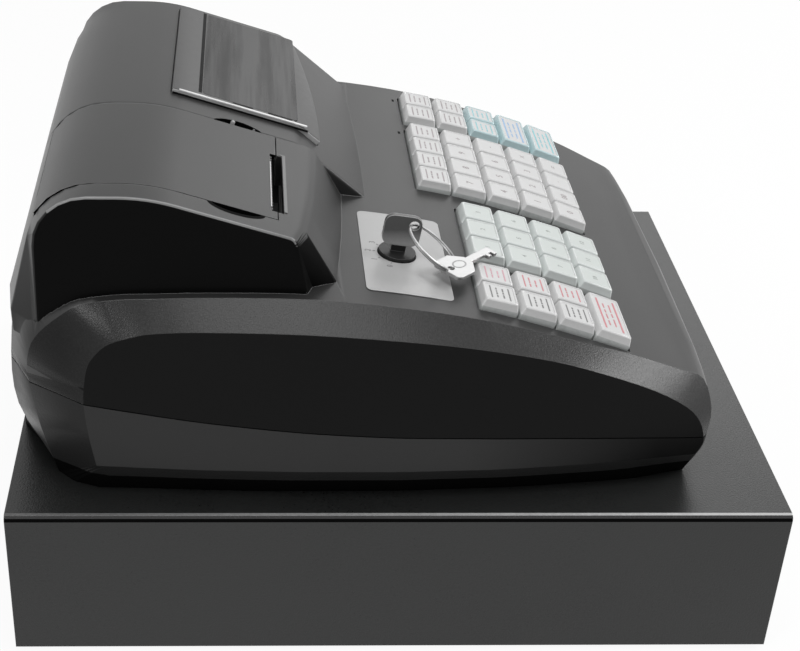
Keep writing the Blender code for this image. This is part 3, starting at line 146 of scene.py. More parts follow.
def math_node(tree, operation, first, second):
    made = tree.nodes.new("ShaderNodeMath")
    made.operation = operation
    for socket, value in zip(made.inputs, (first, second)):
        feed(tree, socket, value)
    return made.outputs["Value"]


def mix_colours(tree, factor, first, second):
    made = tree.nodes.new("ShaderNodeMix")
    made.data_type = "RGBA"
    for place, value in ((MIX_FACTOR, factor), (MIX_FIRST, first), (MIX_SECOND, second)):
        feed(tree, made.inputs[place], value)
    return made.outputs[MIX_RESULT]


def bump(tree, height, strength, distance, normal):
    return node(tree, "ShaderNodeBump", Height=height, Strength=strength, Distance=distance,
                Normal=normal).outputs["Normal"]


def rounded_normal(tree, radius, rays):
    """Normal that turns softly across the edges, over a radius."""
    made = node(tree, "ShaderNodeBevel", Radius=radius)
    made.samples = rays
    return made.outputs["Normal"]


def new_material(name, **settings):
    """Material with one Principled shader; settings name its own sockets."""
    made = bpy.data.materials.new(name)
    made.use_nodes = True
    tree = made.node_tree
    shader = tree.nodes["Principled BSDF"]
    for key, value in settings.items():
        shader.inputs[key.replace("_", " ")].default_value = value
    return made, tree, shader


def edge_mask(tree, rounded):
    """1 along edges and 0 elsewhere, broken up a little, from how far the rounded normal turns."""
    plain = tree.nodes.new("ShaderNodeNewGeometry").outputs["Normal"]
    turn = tree.nodes.new("ShaderNodeVectorMath")
    turn.operation = "DOT_PRODUCT"
    tree.links.new(rounded, turn.inputs[0])
    tree.links.new(plain, turn.inputs[1])
    away = math_node(tree, "SUBTRACT", 1.0, turn.outputs["Value"])
    wear_and_highlight = ramp(tree, noise(tree, WEAR_AND_HIGHLIGHT_SCALE), WEAR_AND_HIGHLIGHT_LEAST, WEAR_AND_HIGHLIGHT_MOST)
    return math_node(tree, "MINIMUM", math_node(tree, "MULTIPLY", away, wear_and_highlight), 1.0)


def moulded(name, colour, spread, roughness, specular, grain, grain_height, edge_radius,
            edge_wear_and_highlight=None, tone=None):
    """Moulded plastic: mottled colour, fine spark grain, and rounded edges that may be lightened by wear
    and a painted highlight.
    """
    made, tree, shader = new_material(name, Specular_IOR_Level=specular)
    cloud = noise(tree, CLOUD_SCALE)
    speck = noise(tree, grain * SPECK_SHARE, 2.0)
    shade = math_node(tree, "MULTIPLY", ramp(tree, cloud, 1 - spread, 1 + spread),
                      ramp(tree, speck, 1 - spread, 1 + spread))
    if tone is not None:
        shade = math_node(tree, "MULTIPLY", shade, tone(tree))
    tint = mix_colours(tree, shade, grey(0.0), colour)
    rounded = rounded_normal(tree, edge_radius, MOULDED_EDGE_RAYS)
    if edge_wear_and_highlight is not None:
        tint = mix_colours(tree, edge_mask(tree, rounded), tint, edge_wear_and_highlight)
    tree.links.new(tint, shader.inputs["Base Color"])
    rough = math_node(tree, "ADD", ramp(tree, cloud, -CLOUD_ROUGHNESS, CLOUD_ROUGHNESS),
                      ramp(tree, speck, roughness - SPECK_ROUGHNESS, roughness + SPECK_ROUGHNESS))
    tree.links.new(rough, shader.inputs["Roughness"])
    grainy = bump(tree, noise(tree, grain, 2.0), GRAIN_STRENGTH, grain_height, rounded)
    tree.links.new(grainy, shader.inputs["Normal"])
    return made


def reflection_streaks(tree):
    """Tone of soft bands across the display's glass that paint reflections."""
    stretched = node(tree, "ShaderNodeMapping", Vector=coordinates(tree), Scale=(6.0, 120.0, 6.0))
    band = node(tree, "ShaderNodeTexNoise", Vector=stretched.outputs["Vector"], Scale=1.0,
                Detail=3.0, Roughness=0.6)
    return map_range(tree, band.outputs["Fac"], 0.35, 0.65, 0.20, 1.3)


def fade_along(axis, start, end, first, last):
    """Tone that runs from first to last between two places on an axis."""
    def tone(tree):
        place = node(tree, "ShaderNodeSeparateXYZ", Vector=coordinates(tree))
        return map_range(tree, place.outputs[axis], start, end, first, last)
    return tone


def metal(name, colour, roughness, grain, edge_radius=0.0004):
    """Plated or polished metal with fine scratches."""
    made, tree, shader = new_material(name, Metallic=1.0)
    stretched = node(tree, "ShaderNodeMapping", Vector=coordinates(tree),
                     Scale=(grain, grain * SCRATCH_STRETCH, grain))
    scratch = node(tree, "ShaderNodeTexNoise", Vector=stretched.outputs["Vector"], Scale=1.0,
                   Detail=4.0).outputs["Fac"]
    tint = mix_colours(tree, ramp(tree, scratch, 0.75, 1.0), grey(0.0), colour)
    tree.links.new(tint, shader.inputs["Base Color"])
    tree.links.new(ramp(tree, scratch, roughness * 0.7, roughness * 1.5), shader.inputs["Roughness"])
    rounded = rounded_normal(tree, edge_radius, METAL_EDGE_RAYS)
    tree.links.new(bump(tree, scratch, SCRATCH_STRENGTH, SCRATCH_HEIGHT, rounded), shader.inputs["Normal"])
    return made


# Materials

# Colour of edges on dark plastic, lightened by wear and a painted highlight, and the height of the
# mode key's neck
EDGE_WEAR_AND_HIGHLIGHT = grey(0.16)
KEY_NECK_LEVEL = 0.1960
# Tone that darkens the grained rim towards its rear: painted shade
RIM_REAR_PAINTED_SHADE = fade_along("Y", 0.120, 0.165, 1.0, 0.25)
# Tone that darkens the lower side panel towards its front: painted shade
LOWER_FRONT_PAINTED_SHADE = fade_along("Y", -0.130, -0.030, 0.10, 1.0)
# Tone that fades the painted highlight on the lid's fold from the front to the rear
LID_HIGHLIGHT_FADE = fade_along("Y", -0.190, 0.150, 1.0, 0.20)
# Tone that strengthens the painted highlight on the hood's top edges towards the rear
TOP_EDGE_HIGHLIGHT_FADE = fade_along("Y", 0.060, 0.150, 0.75, 1.7)
HEAD_FADE = fade_along("Z", KEY_NECK_LEVEL, KEY_NECK_LEVEL + 0.0080, 1.0, 0.22)
# A moulded finish gives its colour, spread of shade, roughness, specular level, grain scale and height,
# radius of the edges, and where it has them the colour of edges lightened by wear and a painted highlight,
# and a tone.
DECK = moulded("charcoal_satin", grey(0.018), 0.14, 0.38, 0.37, 2600.0, 0.00004, 0.0008, EDGE_WEAR_AND_HIGHLIGHT)
RIM = moulded("charcoal_grained", grey(0.029), 0.42, 0.27, 0.17, 1500.0, 0.00018, 0.0006, grey(0.10),
              RIM_REAR_PAINTED_SHADE)
# Copies of the one charcoal moulding, darker or lighter by region, paint shade on the side panels and on the
# hood's sides and corners, and light on the lower side panel
PANEL_PAINTED_SHADE = moulded("charcoal_side_painted_shade", grey(0.0065), 0.16, 0.34, 0.065, 2600.0, 0.00003, 0.0006)
LOWER_PANEL_PAINTED_LIGHT_AND_SHADE = moulded("charcoal_lower_side_painted_light_and_shade", grey(0.040), 0.14, 0.36, 0.07, 2600.0, 0.00003, 0.0006, None,
                      LOWER_FRONT_PAINTED_SHADE)
WALL_PAINTED_SHADE = moulded("charcoal_hood_side_painted_shade", grey(0.004), 0.12, 0.34, 0.03, 2600.0, 0.00003, 0.0004)
CHAMFER_PAINTED_SHADE = moulded("charcoal_chamfer_painted_shade", grey(0.004), 0.12, 0.42, 0.020, 2600.0, 0.00004, 0.0002)
REAR_CORNER_PAINTED_SHADE = moulded("charcoal_rear_corner_painted_shade", grey(0.012), 0.12, 0.38, 0.17, 2600.0, 0.00004, 0.0004)
# Pale copy of the moulding that paints the highlight on the hood's rounded top edges
ROUNDED_HIGHLIGHT = moulded("charcoal_rounded_edge_highlight", grey(0.200), 0.25, 0.30, 0.50, 1800.0, 0.00004, 0.0004, None,
                  TOP_EDGE_HIGHLIGHT_FADE)
# Pale paint that paints the highlight on top of the drawer box lid's fold
LID_FOLD_HIGHLIGHT = moulded("paint_fold_highlight", grey(0.42), 0.25, 0.30, 0.40, 900.0, 0.00006, 0.0003, None, LID_HIGHLIGHT_FADE)
BEND = moulded("paint_bend", grey(0.020), 0.20, 0.26, 0.34, 1200.0, 0.00003, 0.0004)
# Darker copy of the grained rim for the lower case: painted shade
LOWER_RIM_PAINTED_SHADE = moulded("charcoal_lower_rim_painted_shade", grey(0.012), 0.30, 0.36, 0.20, 900.0, 0.00020, 0.0006)
# Near black that paints the shade in the notches, under the case, under the lid's fold, beside the printer
# cover and in the added dark pieces, and colours the dark joint between the cases
SHADE_AND_JOINTS = moulded("charcoal_shade_and_joints", grey(0.002), 0.10, 0.60, 0.02, 2600.0, 0.00003, 0.0002)
PAINT = moulded("sand_paint", (0.0117, 0.0122, 0.0120, 1.0), 0.60, 0.30, 0.44, 1000.0, 0.00024, 0.0008,
                grey(0.05))
TRAY = moulded("tray_moulding", grey(0.020), 0.10, 0.45, 0.35, 2000.0, 0.00005, 0.0008)
STEEL = metal("bright_steel", grey(0.62), 0.28, 900.0)
CHASSIS = metal("chassis_steel", grey(0.42), 0.34, 700.0)
DARK_KEY = moulded("key_grip", grey(0.30), 0.10, 0.34, 0.50, 900.0, 0.00002, 0.0006, grey(0.55), HEAD_FADE)
COLLAR = moulded("lock_collar", grey(0.008), 0.20, 0.40, 0.30, 900.0, 0.00004, 0.0005, grey(0.06))
BRIGHT_KEY = metal("bright_nickel", grey(0.50), 0.30, 1200.0, 0.0004)
RING_STEEL = metal("ring_steel", grey(0.30), 0.36, 1500.0, 0.0002)
RUBBER = moulded("platen_rubber", grey(0.025), 0.10, 0.62, 0.25, 2600.0, 0.00003, 0.0003)
PAPER = moulded("till_paper", (0.80, 0.80, 0.78, 1.0), 0.03, 0.75, 0.25, 3000.0, 0.00002, 0.0003)
GLASS = moulded("smoked_acrylic", grey(0.016), 0.06, 0.30, 0.44, 300.0, 0.000002, 0.0006)
# Pale acrylic on the glass's cut edges that paints their highlight
GLASS_EDGE_HIGHLIGHT = moulded("acrylic_edge_highlight", grey(0.42), 0.40, 0.20, 0.50, 120.0, 0.00002, 0.0004)
# Pale acrylic for the slab along the glass's left edge, a painted highlight
GLASS_RIM_HIGHLIGHT = moulded("acrylic_rim_highlight", grey(0.60), 0.45, 0.20, 0.50, 90.0, 0.00002, 0.0003)
# The display's mask, with soft bands that paint reflections
INNER_GLASS = moulded("display_mask", grey(0.050), 0.20, 0.26, 0.10, 60.0, 0.00001, 0.0003, None, reflection_streaks)
# Near black for dark lines round the glass and for painted shade in the gap along its left edge
GROOVE_AND_GAP_SHADE = moulded("display_groove_and_gap_shade", grey(0.003), 0.10, 0.50, 0.06, 600.0, 0.00001, 0.0002)
BLADE = metal("tear_blade_steel", grey(0.50), 0.35, 900.0, 0.0002)
LIP = moulded("slot_lip", grey(0.120), 0.10, 0.40, 0.45, 1500.0, 0.00002, 0.0002, grey(0.16))
# Pale pips that paint the glints in the right finger notch
GLINT_PIP = moulded("notch_glint_pip", grey(0.30), 0.25, 0.30, 0.50, 900.0, 0.00002, 0.0004)
CAP = moulded("clear_key_cover", grey(0.53), 0.05, 0.22, 0.50, 700.0, 0.00002, 0.0005, grey(0.72))
CAP_BLUE = moulded("tinted_key_cover", (0.40, 0.53, 0.55, 1.0), 0.05, 0.22, 0.50, 700.0, 0.00002, 0.0005,
                   grey(0.72))
LABEL = moulded("key_label", grey(0.50), 0.04, 0.40, 0.40, 1800.0, 0.00001, 0.0003)
LABEL_GREEN = moulded("key_label_green", (0.47, 0.50, 0.485, 1.0), 0.04, 0.40, 0.40, 1800.0, 0.00001, 0.0003)
SKIRT = moulded("key_cover_skirt", (0.37, 0.385, 0.38, 1.0), 0.25, 0.30, 0.50, 500.0, 0.00003, 0.0004)
CAP_GREEN = moulded("green_key_cover", (0.55, 0.58, 0.57, 1.0), 0.05, 0.22, 0.50, 700.0, 0.00002, 0.0005,
                    grey(0.62))
PLATE = moulded("lock_plate", grey(0.325), 0.10, 0.36, 0.50, 500.0, 0.00003, 0.0003, grey(0.62))
INK = moulded("print_dark", grey(0.16), 0.20, 0.50, 0.30, 1800.0, 0.00001, 0.0001)
INK_FAINT = moulded("print_faint", (0.30, 0.27, 0.275, 1.0), 0.15, 0.50, 0.30, 1800.0, 0.00001, 0.0001)
INK_GREY = moulded("print_grey", (0.31, 0.33, 0.32, 1.0), 0.15, 0.50, 0.30, 1800.0, 0.00001, 0.0001)
INK_RED = moulded("print_red", (0.50, 0.20, 0.22, 1.0), 0.15, 0.50, 0.30, 1800.0, 0.00001, 0.0001)
INK_PINK = moulded("print_pink", (0.52, 0.30, 0.34, 1.0), 0.15, 0.50, 0.30, 1800.0, 0.00001, 0.0001)
INK_CYAN = moulded("print_cyan", (0.22, 0.48, 0.52, 1.0), 0.15, 0.50, 0.30, 1800.0, 0.00001, 0.0001)
INK_BLUE = moulded("print_blue", (0.26, 0.40, 0.58, 1.0), 0.15, 0.50, 0.30, 1800.0, 0.00001, 0.0001)

NODE_MATERIALS = {
    "drawer_housing": PAINT, "drawer": PAINT, "coin_tray": TRAY, "drawer_lock": STEEL,
    "lower_case": LOWER_PANEL_PAINTED_LIGHT_AND_SHADE, "upper_case": DECK, "printer_cover": DECK,
    "display_window": GLASS, "print_mechanism": CHASSIS, "platen_roller": RUBBER,
    "paper_roll": PAPER, "mode_key": DARK_KEY, "spare_key": BRIGHT_KEY}


# Finished copies of the CAD shells

# Points nearer than this are welded, and faces that turn by less than this angle are joined
WELD_DISTANCE = 0.000005
FLAT_ANGLE = math.radians(0.4)
# Angles beyond which an edge stays sharp, on the CAD shells and on the added pieces
SHARP_ANGLE = math.radians(24)
PIECE_SHARP_ANGLE = math.radians(28)
# A border that is rounded turns by more than this angle, and climbs by less than this share of its length
ROUNDED_ANGLE = math.radians(20)
ROUNDED_CLIMB = 0.75
# The hood's edges are shaded soft above the first height, and the rear corners behind this y and above
# the second height
SOFT_LEVEL = 0.197
SOFT_REAR_Y = 0.150
SOFT_REAR_LEVEL = 0.125
# Steepest turns that stay soft at the corners, and along the hood's edges
SOFT_CORNER_ANGLE = math.radians(60)
SOFT_EDGE_ANGLE = math.radians(40)
# The hood's front corners lie beyond this x, in front of this y and above this height
FRONT_CORNER_X = 0.112
FRONT_CORNER_Y = 0.075
FRONT_CORNER_LEVEL = 0.186
# Height at which the lower case turns in to its foot
FOOT_LEVEL = 0.0972
# Height of the border between the hood and the grained rear of the case
REAR_BORDER = 0.1500
# Height at which the drawer box's lid folds over
FOLD_LEVEL = 0.0846
# Hood's side walls, with their span from the middle and the height they start at
WALL_SPAN = (0.128, 0.131)
WALL_LEVEL = 0.186
# Edge along the top of the side walls, with its distance from the middle and its rear end
TOP_EDGE_X = 0.1288
TOP_EDGE_REAR_Y = 0.168
# Hood's upright corners, with their span and foot, and the reach of the rear ones below that foot
CORNER_SPAN = (0.1150, 0.1305)
CORNER_LEVEL = 0.180
CORNER_FOOT_X = 0.1250
# Height that the side panels stay under
PANEL_TOP = 0.1845
# Finger notches beside the printer cover, with their spans across and from front to rear
NOTCH_SPANS = ((-0.1214, -0.1148), (-0.0227, -0.0160))
NOTCH_FRONT_Y = 0.0670
NOTCH_REAR_Y = 0.0960
# Margins of the regions at the side panels, at the deck's edge and under the slope
PANEL_MARGIN = 0.0006
DECK_MARGIN = 0.0004
NOTCH_MARGIN = 0.0004
# Lower end of the mode key's grip
GRIP_LEVEL = KEY_NECK_LEVEL - 0.0025


def between(table, value):
    """Value of a table of pairs at a place between its stations."""
    for (low, first), (high, second) in zip(table, table[1:]):
        if value <= high:
            share = max(0.0, (value - low) / (high - low))
            return first + (second - first) * share
    return table[-1][1]


def on_side_panel(x, y):
    return abs(x) > between(PANEL_HALF, y) - PANEL_MARGIN


def cut_levels(bm, levels):
    """Splits the faces along level lines, so that a band of them can have its own finish."""
    for level in levels:
        everything = bm.verts[:] + bm.edges[:] + bm.faces[:]
        bmesh.ops.bisect_plane(bm, geom=everything, dist=0.000001, plane_co=(0.0, 0.0, level),
                               plane_no=(0.0, 0.0, 1.0))


def round_borders(bm, pairs, width, material, above):
    """Rounds the nearly level edges between two regions, so that they catch the light as moulded edges do."""
    edges = [edge for edge in bm.edges if len(edge.link_faces) == 2
             and tuple(sorted(face.material_index for face in edge.link_faces)) in pairs
             and edge.calc_face_angle(0.0) > ROUNDED_ANGLE and edge.is_convex
             and min(vertex.co.z for vertex in edge.verts) > above
             and max(vertex.co.y for vertex in edge.verts) < SOFT_REAR_Y
             and abs(edge.verts[0].co.z - edge.verts[1].co.z) < ROUNDED_CLIMB * edge.calc_length()]
    bmesh.ops.bevel(bm, geom=edges, offset=width, offset_type="OFFSET", segments=3, profile=0.5,
                    affect="EDGES", clamp_overlap=True, material=material)


def stays_soft(edge):
    """Whether an edge of the hood or of the case's corners is shaded as part of one curve."""
    turn = edge.calc_face_angle(0.0)
    places = [vertex.co for vertex in edge.verts]
    behind = all(place.y > SOFT_REAR_Y and place.z > SOFT_REAR_LEVEL for place in places)
    front = all(abs(place.x) > FRONT_CORNER_X and place.y < FRONT_CORNER_Y and place.z > FRONT_CORNER_LEVEL
                for place in places)
    high = min(place.z for place in places) > SOFT_LEVEL and turn < SOFT_EDGE_ANGLE
    return turn < SOFT_CORNER_ANGLE and (behind or front or high)


def smooth_copy(name, materials, region, rounded=(), width=0.0, above=0.0, levels=()):
    """A CAD node's own shape, welded, shaded smooth and finished region by region.

    The borders between the pairs of regions in rounded are rounded above a height, and take the
    last material. The faces are first split at the given levels.
    """
    source = NODES[name]
    mesh = source.data.copy()
    bm = bmesh.new()
    bm.from_mesh(mesh)
    bmesh.ops.remove_doubles(bm, verts=bm.verts, dist=WELD_DISTANCE)
    bmesh.ops.dissolve_limit(bm, angle_limit=FLAT_ANGLE, verts=bm.verts, edges=bm.edges)
    cut_levels(bm, levels)
    bm.normal_update()
    for face in bm.faces:
        face.material_index = region(face.calc_center_median(), face.normal)
    if rounded:
        round_borders(bm, rounded, width, len(materials) - 1, above)
    bm.edges.index_update()
    soft = len(materials) - 1 if rounded else -1
    borders, turned = [], []
    for edge in bm.edges:
        pair = [face.material_index for face in edge.link_faces]
        if len(pair) == 2 and pair[0] != pair[1] and soft not in pair:
            borders.append(edge.index)
        if len(pair) == 2 and rounded and stays_soft(edge):
            turned.append(edge.index)
    mesh.materials.clear()
    for material in materials:
        mesh.materials.append(material)
    bm.to_mesh(mesh)
    bm.free()
    if "custom_normal" in mesh.attributes:
        mesh.attributes.remove(mesh.attributes["custom_normal"])
    mesh.shade_smooth()
    mesh.set_sharp_from_angle(angle=SHARP_ANGLE)
    sharp = mesh.attributes["sharp_edge"].data
    for index in borders:
        sharp[index].value = True
    for index in turned:
        sharp[index].value = False
    piece = bpy.data.objects.new(name + "_finish", mesh)
    bpy.context.scene.collection.objects.link(piece)
    weighted = piece.modifiers.new("normals", "WEIGHTED_NORMAL")
    weighted.keep_sharp = True
    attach(piece, source["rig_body"])
    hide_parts(name)


def slope_level(y):
    return HOOD_CREST - SLOPE_FALL * (SLOPE_START_Y - y)


def in_notch(x, y, z):
    """Whether a point is in a finger notch, under the slope of the hood."""
    near = any(low < x < high for low, high in NOTCH_SPANS)
    return near and NOTCH_FRONT_Y < y < NOTCH_REAR_Y and z < slope_level(y) - NOTCH_MARGIN


def upper_region(centre, normal):
    """0 deck and tops, 1 rim, 2 side panel, 3 hood side, 4 front corner, 5 recess, 6 rear corner, 7 edge."""
    # Regions 2, 3, 4 and 6 are darker copies that paint shade, 5 is painted shade in the notches, the rim is
    # in painted shade towards its rear, and 7 is pale to paint the highlight on the hood's top edges
    x, y, z = centre
    side, across = abs(x), abs(normal.x)
    if in_notch(x, y, z):
        return 5
    if WALL_SPAN[0] < side < WALL_SPAN[1] and z > WALL_LEVEL and across > 0.97:
        return 3
    if (side > TOP_EDGE_X and z > SOFT_LEVEL and y < TOP_EDGE_REAR_Y
            and normal.z > 0.12 and across > 0.3 and abs(normal.y) < 0.6):
        return 7
    if y > SOFT_REAR_Y and z > CORNER_LEVEL and side < CORNER_SPAN[1] and normal.z < 0.5 and across > 0.2:
        return 6
    if y > SOFT_REAR_Y and z > REAR_BORDER and side < CORNER_FOOT_X and across > 0.5:
        return 6
    if CORNER_SPAN[0] < side < CORNER_SPAN[1] and z > CORNER_LEVEL and normal.z < 0.5 and y < SOFT_REAR_Y:
        return 4
    if on_side_panel(x, y) and z < PANEL_TOP:
        return 2
    if side > between(DECK_HALF, y) + DECK_MARGIN or y > 0.0 and z < REAR_BORDER:
        return 1
    return 0


def cover_region(centre, normal):
    """0 printer cover, 1 its sides and finger notches."""
    # The cover's sides and its finger notches take near black: painted shade
    return 1 if in_notch(*centre) or abs(normal.x) > 0.9 else 0


def lower_region(centre, normal):
    """0 lower side panel, 1 grained rim, 2 shaded underside, 3 parting face."""
    # Region 0 is a lighter copy that paints light, darkened to the front by painted shade; regions 1 and 2
    # are in painted shade, and 3 is the dark joint between the cases
    if normal.z > 0.9 and centre.z > 0.1:
        return 3
    if centre.z < FOOT_LEVEL:
        return 2
    return 0 if on_side_panel(centre.x, centre.y) else 1


def housing_region(centre, normal):
    """0 painted sheet, 1 fold of the lid, 2 shadow line under the fold, 3 top of the fold with a painted
    highlight.
    """
    if centre.z < FOLD_LEVEL or normal.z > 0.99:
        return 0
    if normal.z > 0.9:
        return 3
    return 1 if normal.z > 0.5 else 2


def glass_region(centre, normal):
    """0 face of the glass, 1 its cut edges, pale to paint their highlight."""
    return 1 if abs(normal.x) > 0.5 else 0


def mode_key_region(centre, normal):
    """0 grip, 1 lock plug and collar."""
    return 1 if centre.z < GRIP_LEVEL else 0


def plain_region(centre, normal):
    return 0


def dress_nodes():
    for name, target in NODES.items():
        wanted = NODE_MATERIALS.get(name, CAP)
        for slot in target.material_slots:
            slot.link = "OBJECT"
            slot.material = wanted
    # The hood's rounded edges take the last material, whose pale colour paints their highlight
    smooth_copy("upper_case", (DECK, RIM, PANEL_PAINTED_SHADE, WALL_PAINTED_SHADE, CHAMFER_PAINTED_SHADE, SHADE_AND_JOINTS, REAR_CORNER_PAINTED_SHADE, ROUNDED_HIGHLIGHT), upper_region,
                rounded=((0, 3), (0, 4), (0, 1)), width=0.0009, above=0.178, levels=(REAR_BORDER,))
    smooth_copy("lower_case", (LOWER_PANEL_PAINTED_LIGHT_AND_SHADE, LOWER_RIM_PAINTED_SHADE, SHADE_AND_JOINTS, SHADE_AND_JOINTS, SHADE_AND_JOINTS), lower_region,
                rounded=((0, 3), (1, 3)), width=0.0006, levels=(FOOT_LEVEL,))
    smooth_copy("drawer_housing", (PAINT, BEND, SHADE_AND_JOINTS, LID_FOLD_HIGHLIGHT), housing_region, levels=(FOLD_LEVEL,))
    smooth_copy("printer_cover", (DECK, SHADE_AND_JOINTS), cover_region)
    smooth_copy("display_window", (GLASS, GLASS_EDGE_HIGHLIGHT), glass_region)
    smooth_copy("mode_key", (DARK_KEY, COLLAR), mode_key_region)
    for name in ("drawer", "coin_tray", "platen_roller", "paper_roll", "spare_key", "drawer_lock"):
        smooth_copy(name, (NODE_MATERIALS[name],), plain_region)


# Mesh helpers


def add_piece(name, bm, materials, body):
    bmesh.ops.recalc_face_normals(bm, faces=bm.faces)
    mesh = bpy.data.meshes.new(name)
    bm.to_mesh(mesh)
    bm.free()
    for material in materials:
        mesh.materials.append(material)
    mesh.shade_smooth()
    mesh.set_sharp_from_angle(angle=PIECE_SHARP_ANGLE)
    piece = bpy.data.objects.new(name, mesh)
    bpy.context.scene.collection.objects.link(piece)
    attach(piece, body)
    return piece


def rounded_rectangle(half_x, half_y, radius, steps=4):
    """Corner points of a rounded rectangle, counter-clockwise, as (x, y)."""
    points = []
    for turn, (sx, sy) in enumerate(((1, 1), (-1, 1), (-1, -1), (1, -1))):
        for step in range(steps + 1):
            angle = math.pi / 2 * (turn + step / steps)
            points.append((sx * (half_x - radius) + radius * math.cos(angle),
                           sy * (half_y - radius) + radius * math.sin(angle)))
    return points


def ellipse(half_x, half_y, steps):
    """Points of an ellipse, counter-clockwise, as (x, y)."""
    turns = [2 * math.pi * step / steps for step in range(steps)]
    return [(half_x * math.cos(turn), half_y * math.sin(turn)) for turn in turns]


def skin(bm, loops):
    """Faces between each loop of vertices and the next one."""
    faces = []
    for near, far in zip(loops, loops[1:]):
        for i in range(len(near)):
            j = (i + 1) % len(near)
            faces.append(bm.faces.new((near[i], near[j], far[j], far[i])))
    return faces


def loft(bm, rings, matrix=Matrix(), material=0):
    """Skin of rings of equal point counts, capped at both ends."""
    loops = [[bm.verts.new(matrix @ Vector(point)) for point in ring] for ring in rings]
    faces = skin(bm, loops)
    faces.append(bm.faces.new(loops[-1]))
    faces.append(bm.faces.new(loops[0][::-1]))
    for face in faces:
        face.material_index = material
    return loops


def deck_turn(arc, x):
    """Frame on the deck at an arc length in front of its crest, with Z along the normal."""
    slope = arc / DECK_RADIUS
    place = (x, DECK_CREST_Y - DECK_RADIUS * math.sin(slope),
             DECK_LEVEL - DECK_RADIUS + DECK_RADIUS * math.cos(slope))
    return Matrix.Translation(place) @ Matrix.Rotation(slope, 4, "X")


def deck_slope(y):
    return math.asin((DECK_CREST_Y - y) / DECK_RADIUS)


def deck_point(x, y, lift):
    """Point over the deck at (x, y), lifted along its normal."""
    slope = deck_slope(y)
    radius = DECK_RADIUS + lift
    return Vector((x, DECK_CREST_Y - radius * math.sin(slope),
                   DECK_LEVEL - DECK_RADIUS + radius * math.cos(slope)))


def deck_frame(x, y, lift=0.0):
    """Frame over the deck at (x, y), with Z along the normal."""
    return Matrix.Translation(deck_point(x, y, lift)) @ Matrix.Rotation(deck_slope(y), 4, "X")


def slope_turn(x, y):
    """Frame on the hood's slope, with Z along the normal."""
    return Matrix.Translation((x, y, slope_level(y))) @ Matrix.Rotation(math.atan(SLOPE_FALL), 4, "X")


# Keys

# Heights of a key over the deck
KEY_FOOT = -0.0032
KEY_SHOULDER = 0.0018
KEY_TOP = 0.0062
LABEL_LEVEL = 0.0058
# Half of the gap between two keys
KEY_GAP = 0.00035
LABEL_INSET = (0.0020, 0.0025)
# Sections of a cap from its foot to its label, as inset across and along, height and corner radius
CAP_SECTIONS = (
    (0.0003, 0.0003, KEY_FOOT, 0.0008), (0.0, 0.0, KEY_FOOT + 0.0004, 0.0010),
    (0.0, 0.0, KEY_SHOULDER - 0.0003, 0.0010), (0.0002, 0.0002, KEY_SHOULDER + 0.0002, 0.0011),
    (0.0007, 0.0012, KEY_TOP - 0.0006, 0.0013), (0.0010, 0.0015, KEY_TOP - 0.0002, 0.0013),
    (0.0013, 0.0018, KEY_TOP, 0.0012), (0.0018, 0.0023, KEY_TOP, 0.0009),
    (LABEL_INSET[0], LABEL_INSET[1], LABEL_LEVEL, 0.0008))
# Number of those sections, from the foot, that bound the skirt
SKIRT_SECTIONS = 4
# Places of a cap's materials: the cap itself, its label, three inks and the skirt
LABEL_SLOT = 1
FIRST_INK, SECOND_INK, THIRD_INK = 2, 3, 4
SKIRT_SLOT = 5
# Half thickness of the print, how far a bar's ends are rounded, and the height of a figure as a share of
# its type size
PRINT_LIFT = 0.00004
BAR_ROUNDING = 0.6
FIGURE_SHARE = 0.72


def add_bar(bm, turn, centre, size, material):
    """Thin printed bar lying on a key's label or on the plate."""
    half = (size[0] / 2, size[1] / 2)
    outline = rounded_rectangle(*half, min(half) * BAR_ROUNDING, 2)
    rings = [[(centre[0] + x, centre[1] + y, centre[2] + z) for x, y in outline]
             for z in (-PRINT_LIFT, PRINT_LIFT)]
    loft(bm, rings, turn, material)


def add_digits(bm, turn, text, height, centre, material):
    """Raised print of generic figures, centred on a point."""
    curve = bpy.data.curves.new("figures", "FONT")
    curve.body = text
    curve.size = height / FIGURE_SHARE
    curve.extrude = PRINT_LIFT
    curve.resolution_u = 2
    holder = bpy.data.objects.new("figures", curve)
    bpy.context.scene.collection.objects.link(holder)
    bpy.context.view_layer.update()
    mesh = bpy.data.meshes.new_from_object(holder.evaluated_get(bpy.context.evaluated_depsgraph_get()))
    bpy.data.objects.remove(holder)
    xs = [vertex.co.x for vertex in mesh.vertices]
    ys = [vertex.co.y for vertex in mesh.vertices]
    middle = ((min(xs) + max(xs)) / 2, (min(ys) + max(ys)) / 2)
    shift = Matrix.Translation((centre[0] - middle[0], centre[1] - middle[1], centre[2]))
    mesh.transform(turn @ shift)
    before = len(bm.faces)
    bm.from_mesh(mesh)
    bpy.data.meshes.remove(mesh)
    bm.faces.ensure_lookup_table()
    for face in bm.faces[before:]:
        face.material_index = material


def add_cap(bm, turn, width):
    """Cap with a skirt and rounded edges round a sunk label; returns the label's half size."""
    half_x = width / 2 - KEY_GAP
    half_y = ROW_PITCH / 2 - KEY_GAP
    rings = [[(x, y, z) for x, y in rounded_rectangle(half_x - dx, half_y - dy, radius)]
             for dx, dy, z, radius in CAP_SECTIONS]
    loops = loft(bm, rings, turn)
    top = next(face for face in loops[-1][0].link_faces if len(face.verts) == len(loops[-1]))
    top.material_index = LABEL_SLOT
    for near, far in zip(loops[:SKIRT_SECTIONS - 1], loops[1:SKIRT_SECTIONS]):
        for vertex in near:
            for face in vertex.link_faces:
                if all(corner in near or corner in far for corner in face.verts):
                    face.material_index = SKIRT_SLOT
    return half_x - LABEL_INSET[0], half_y - LABEL_INSET[1]


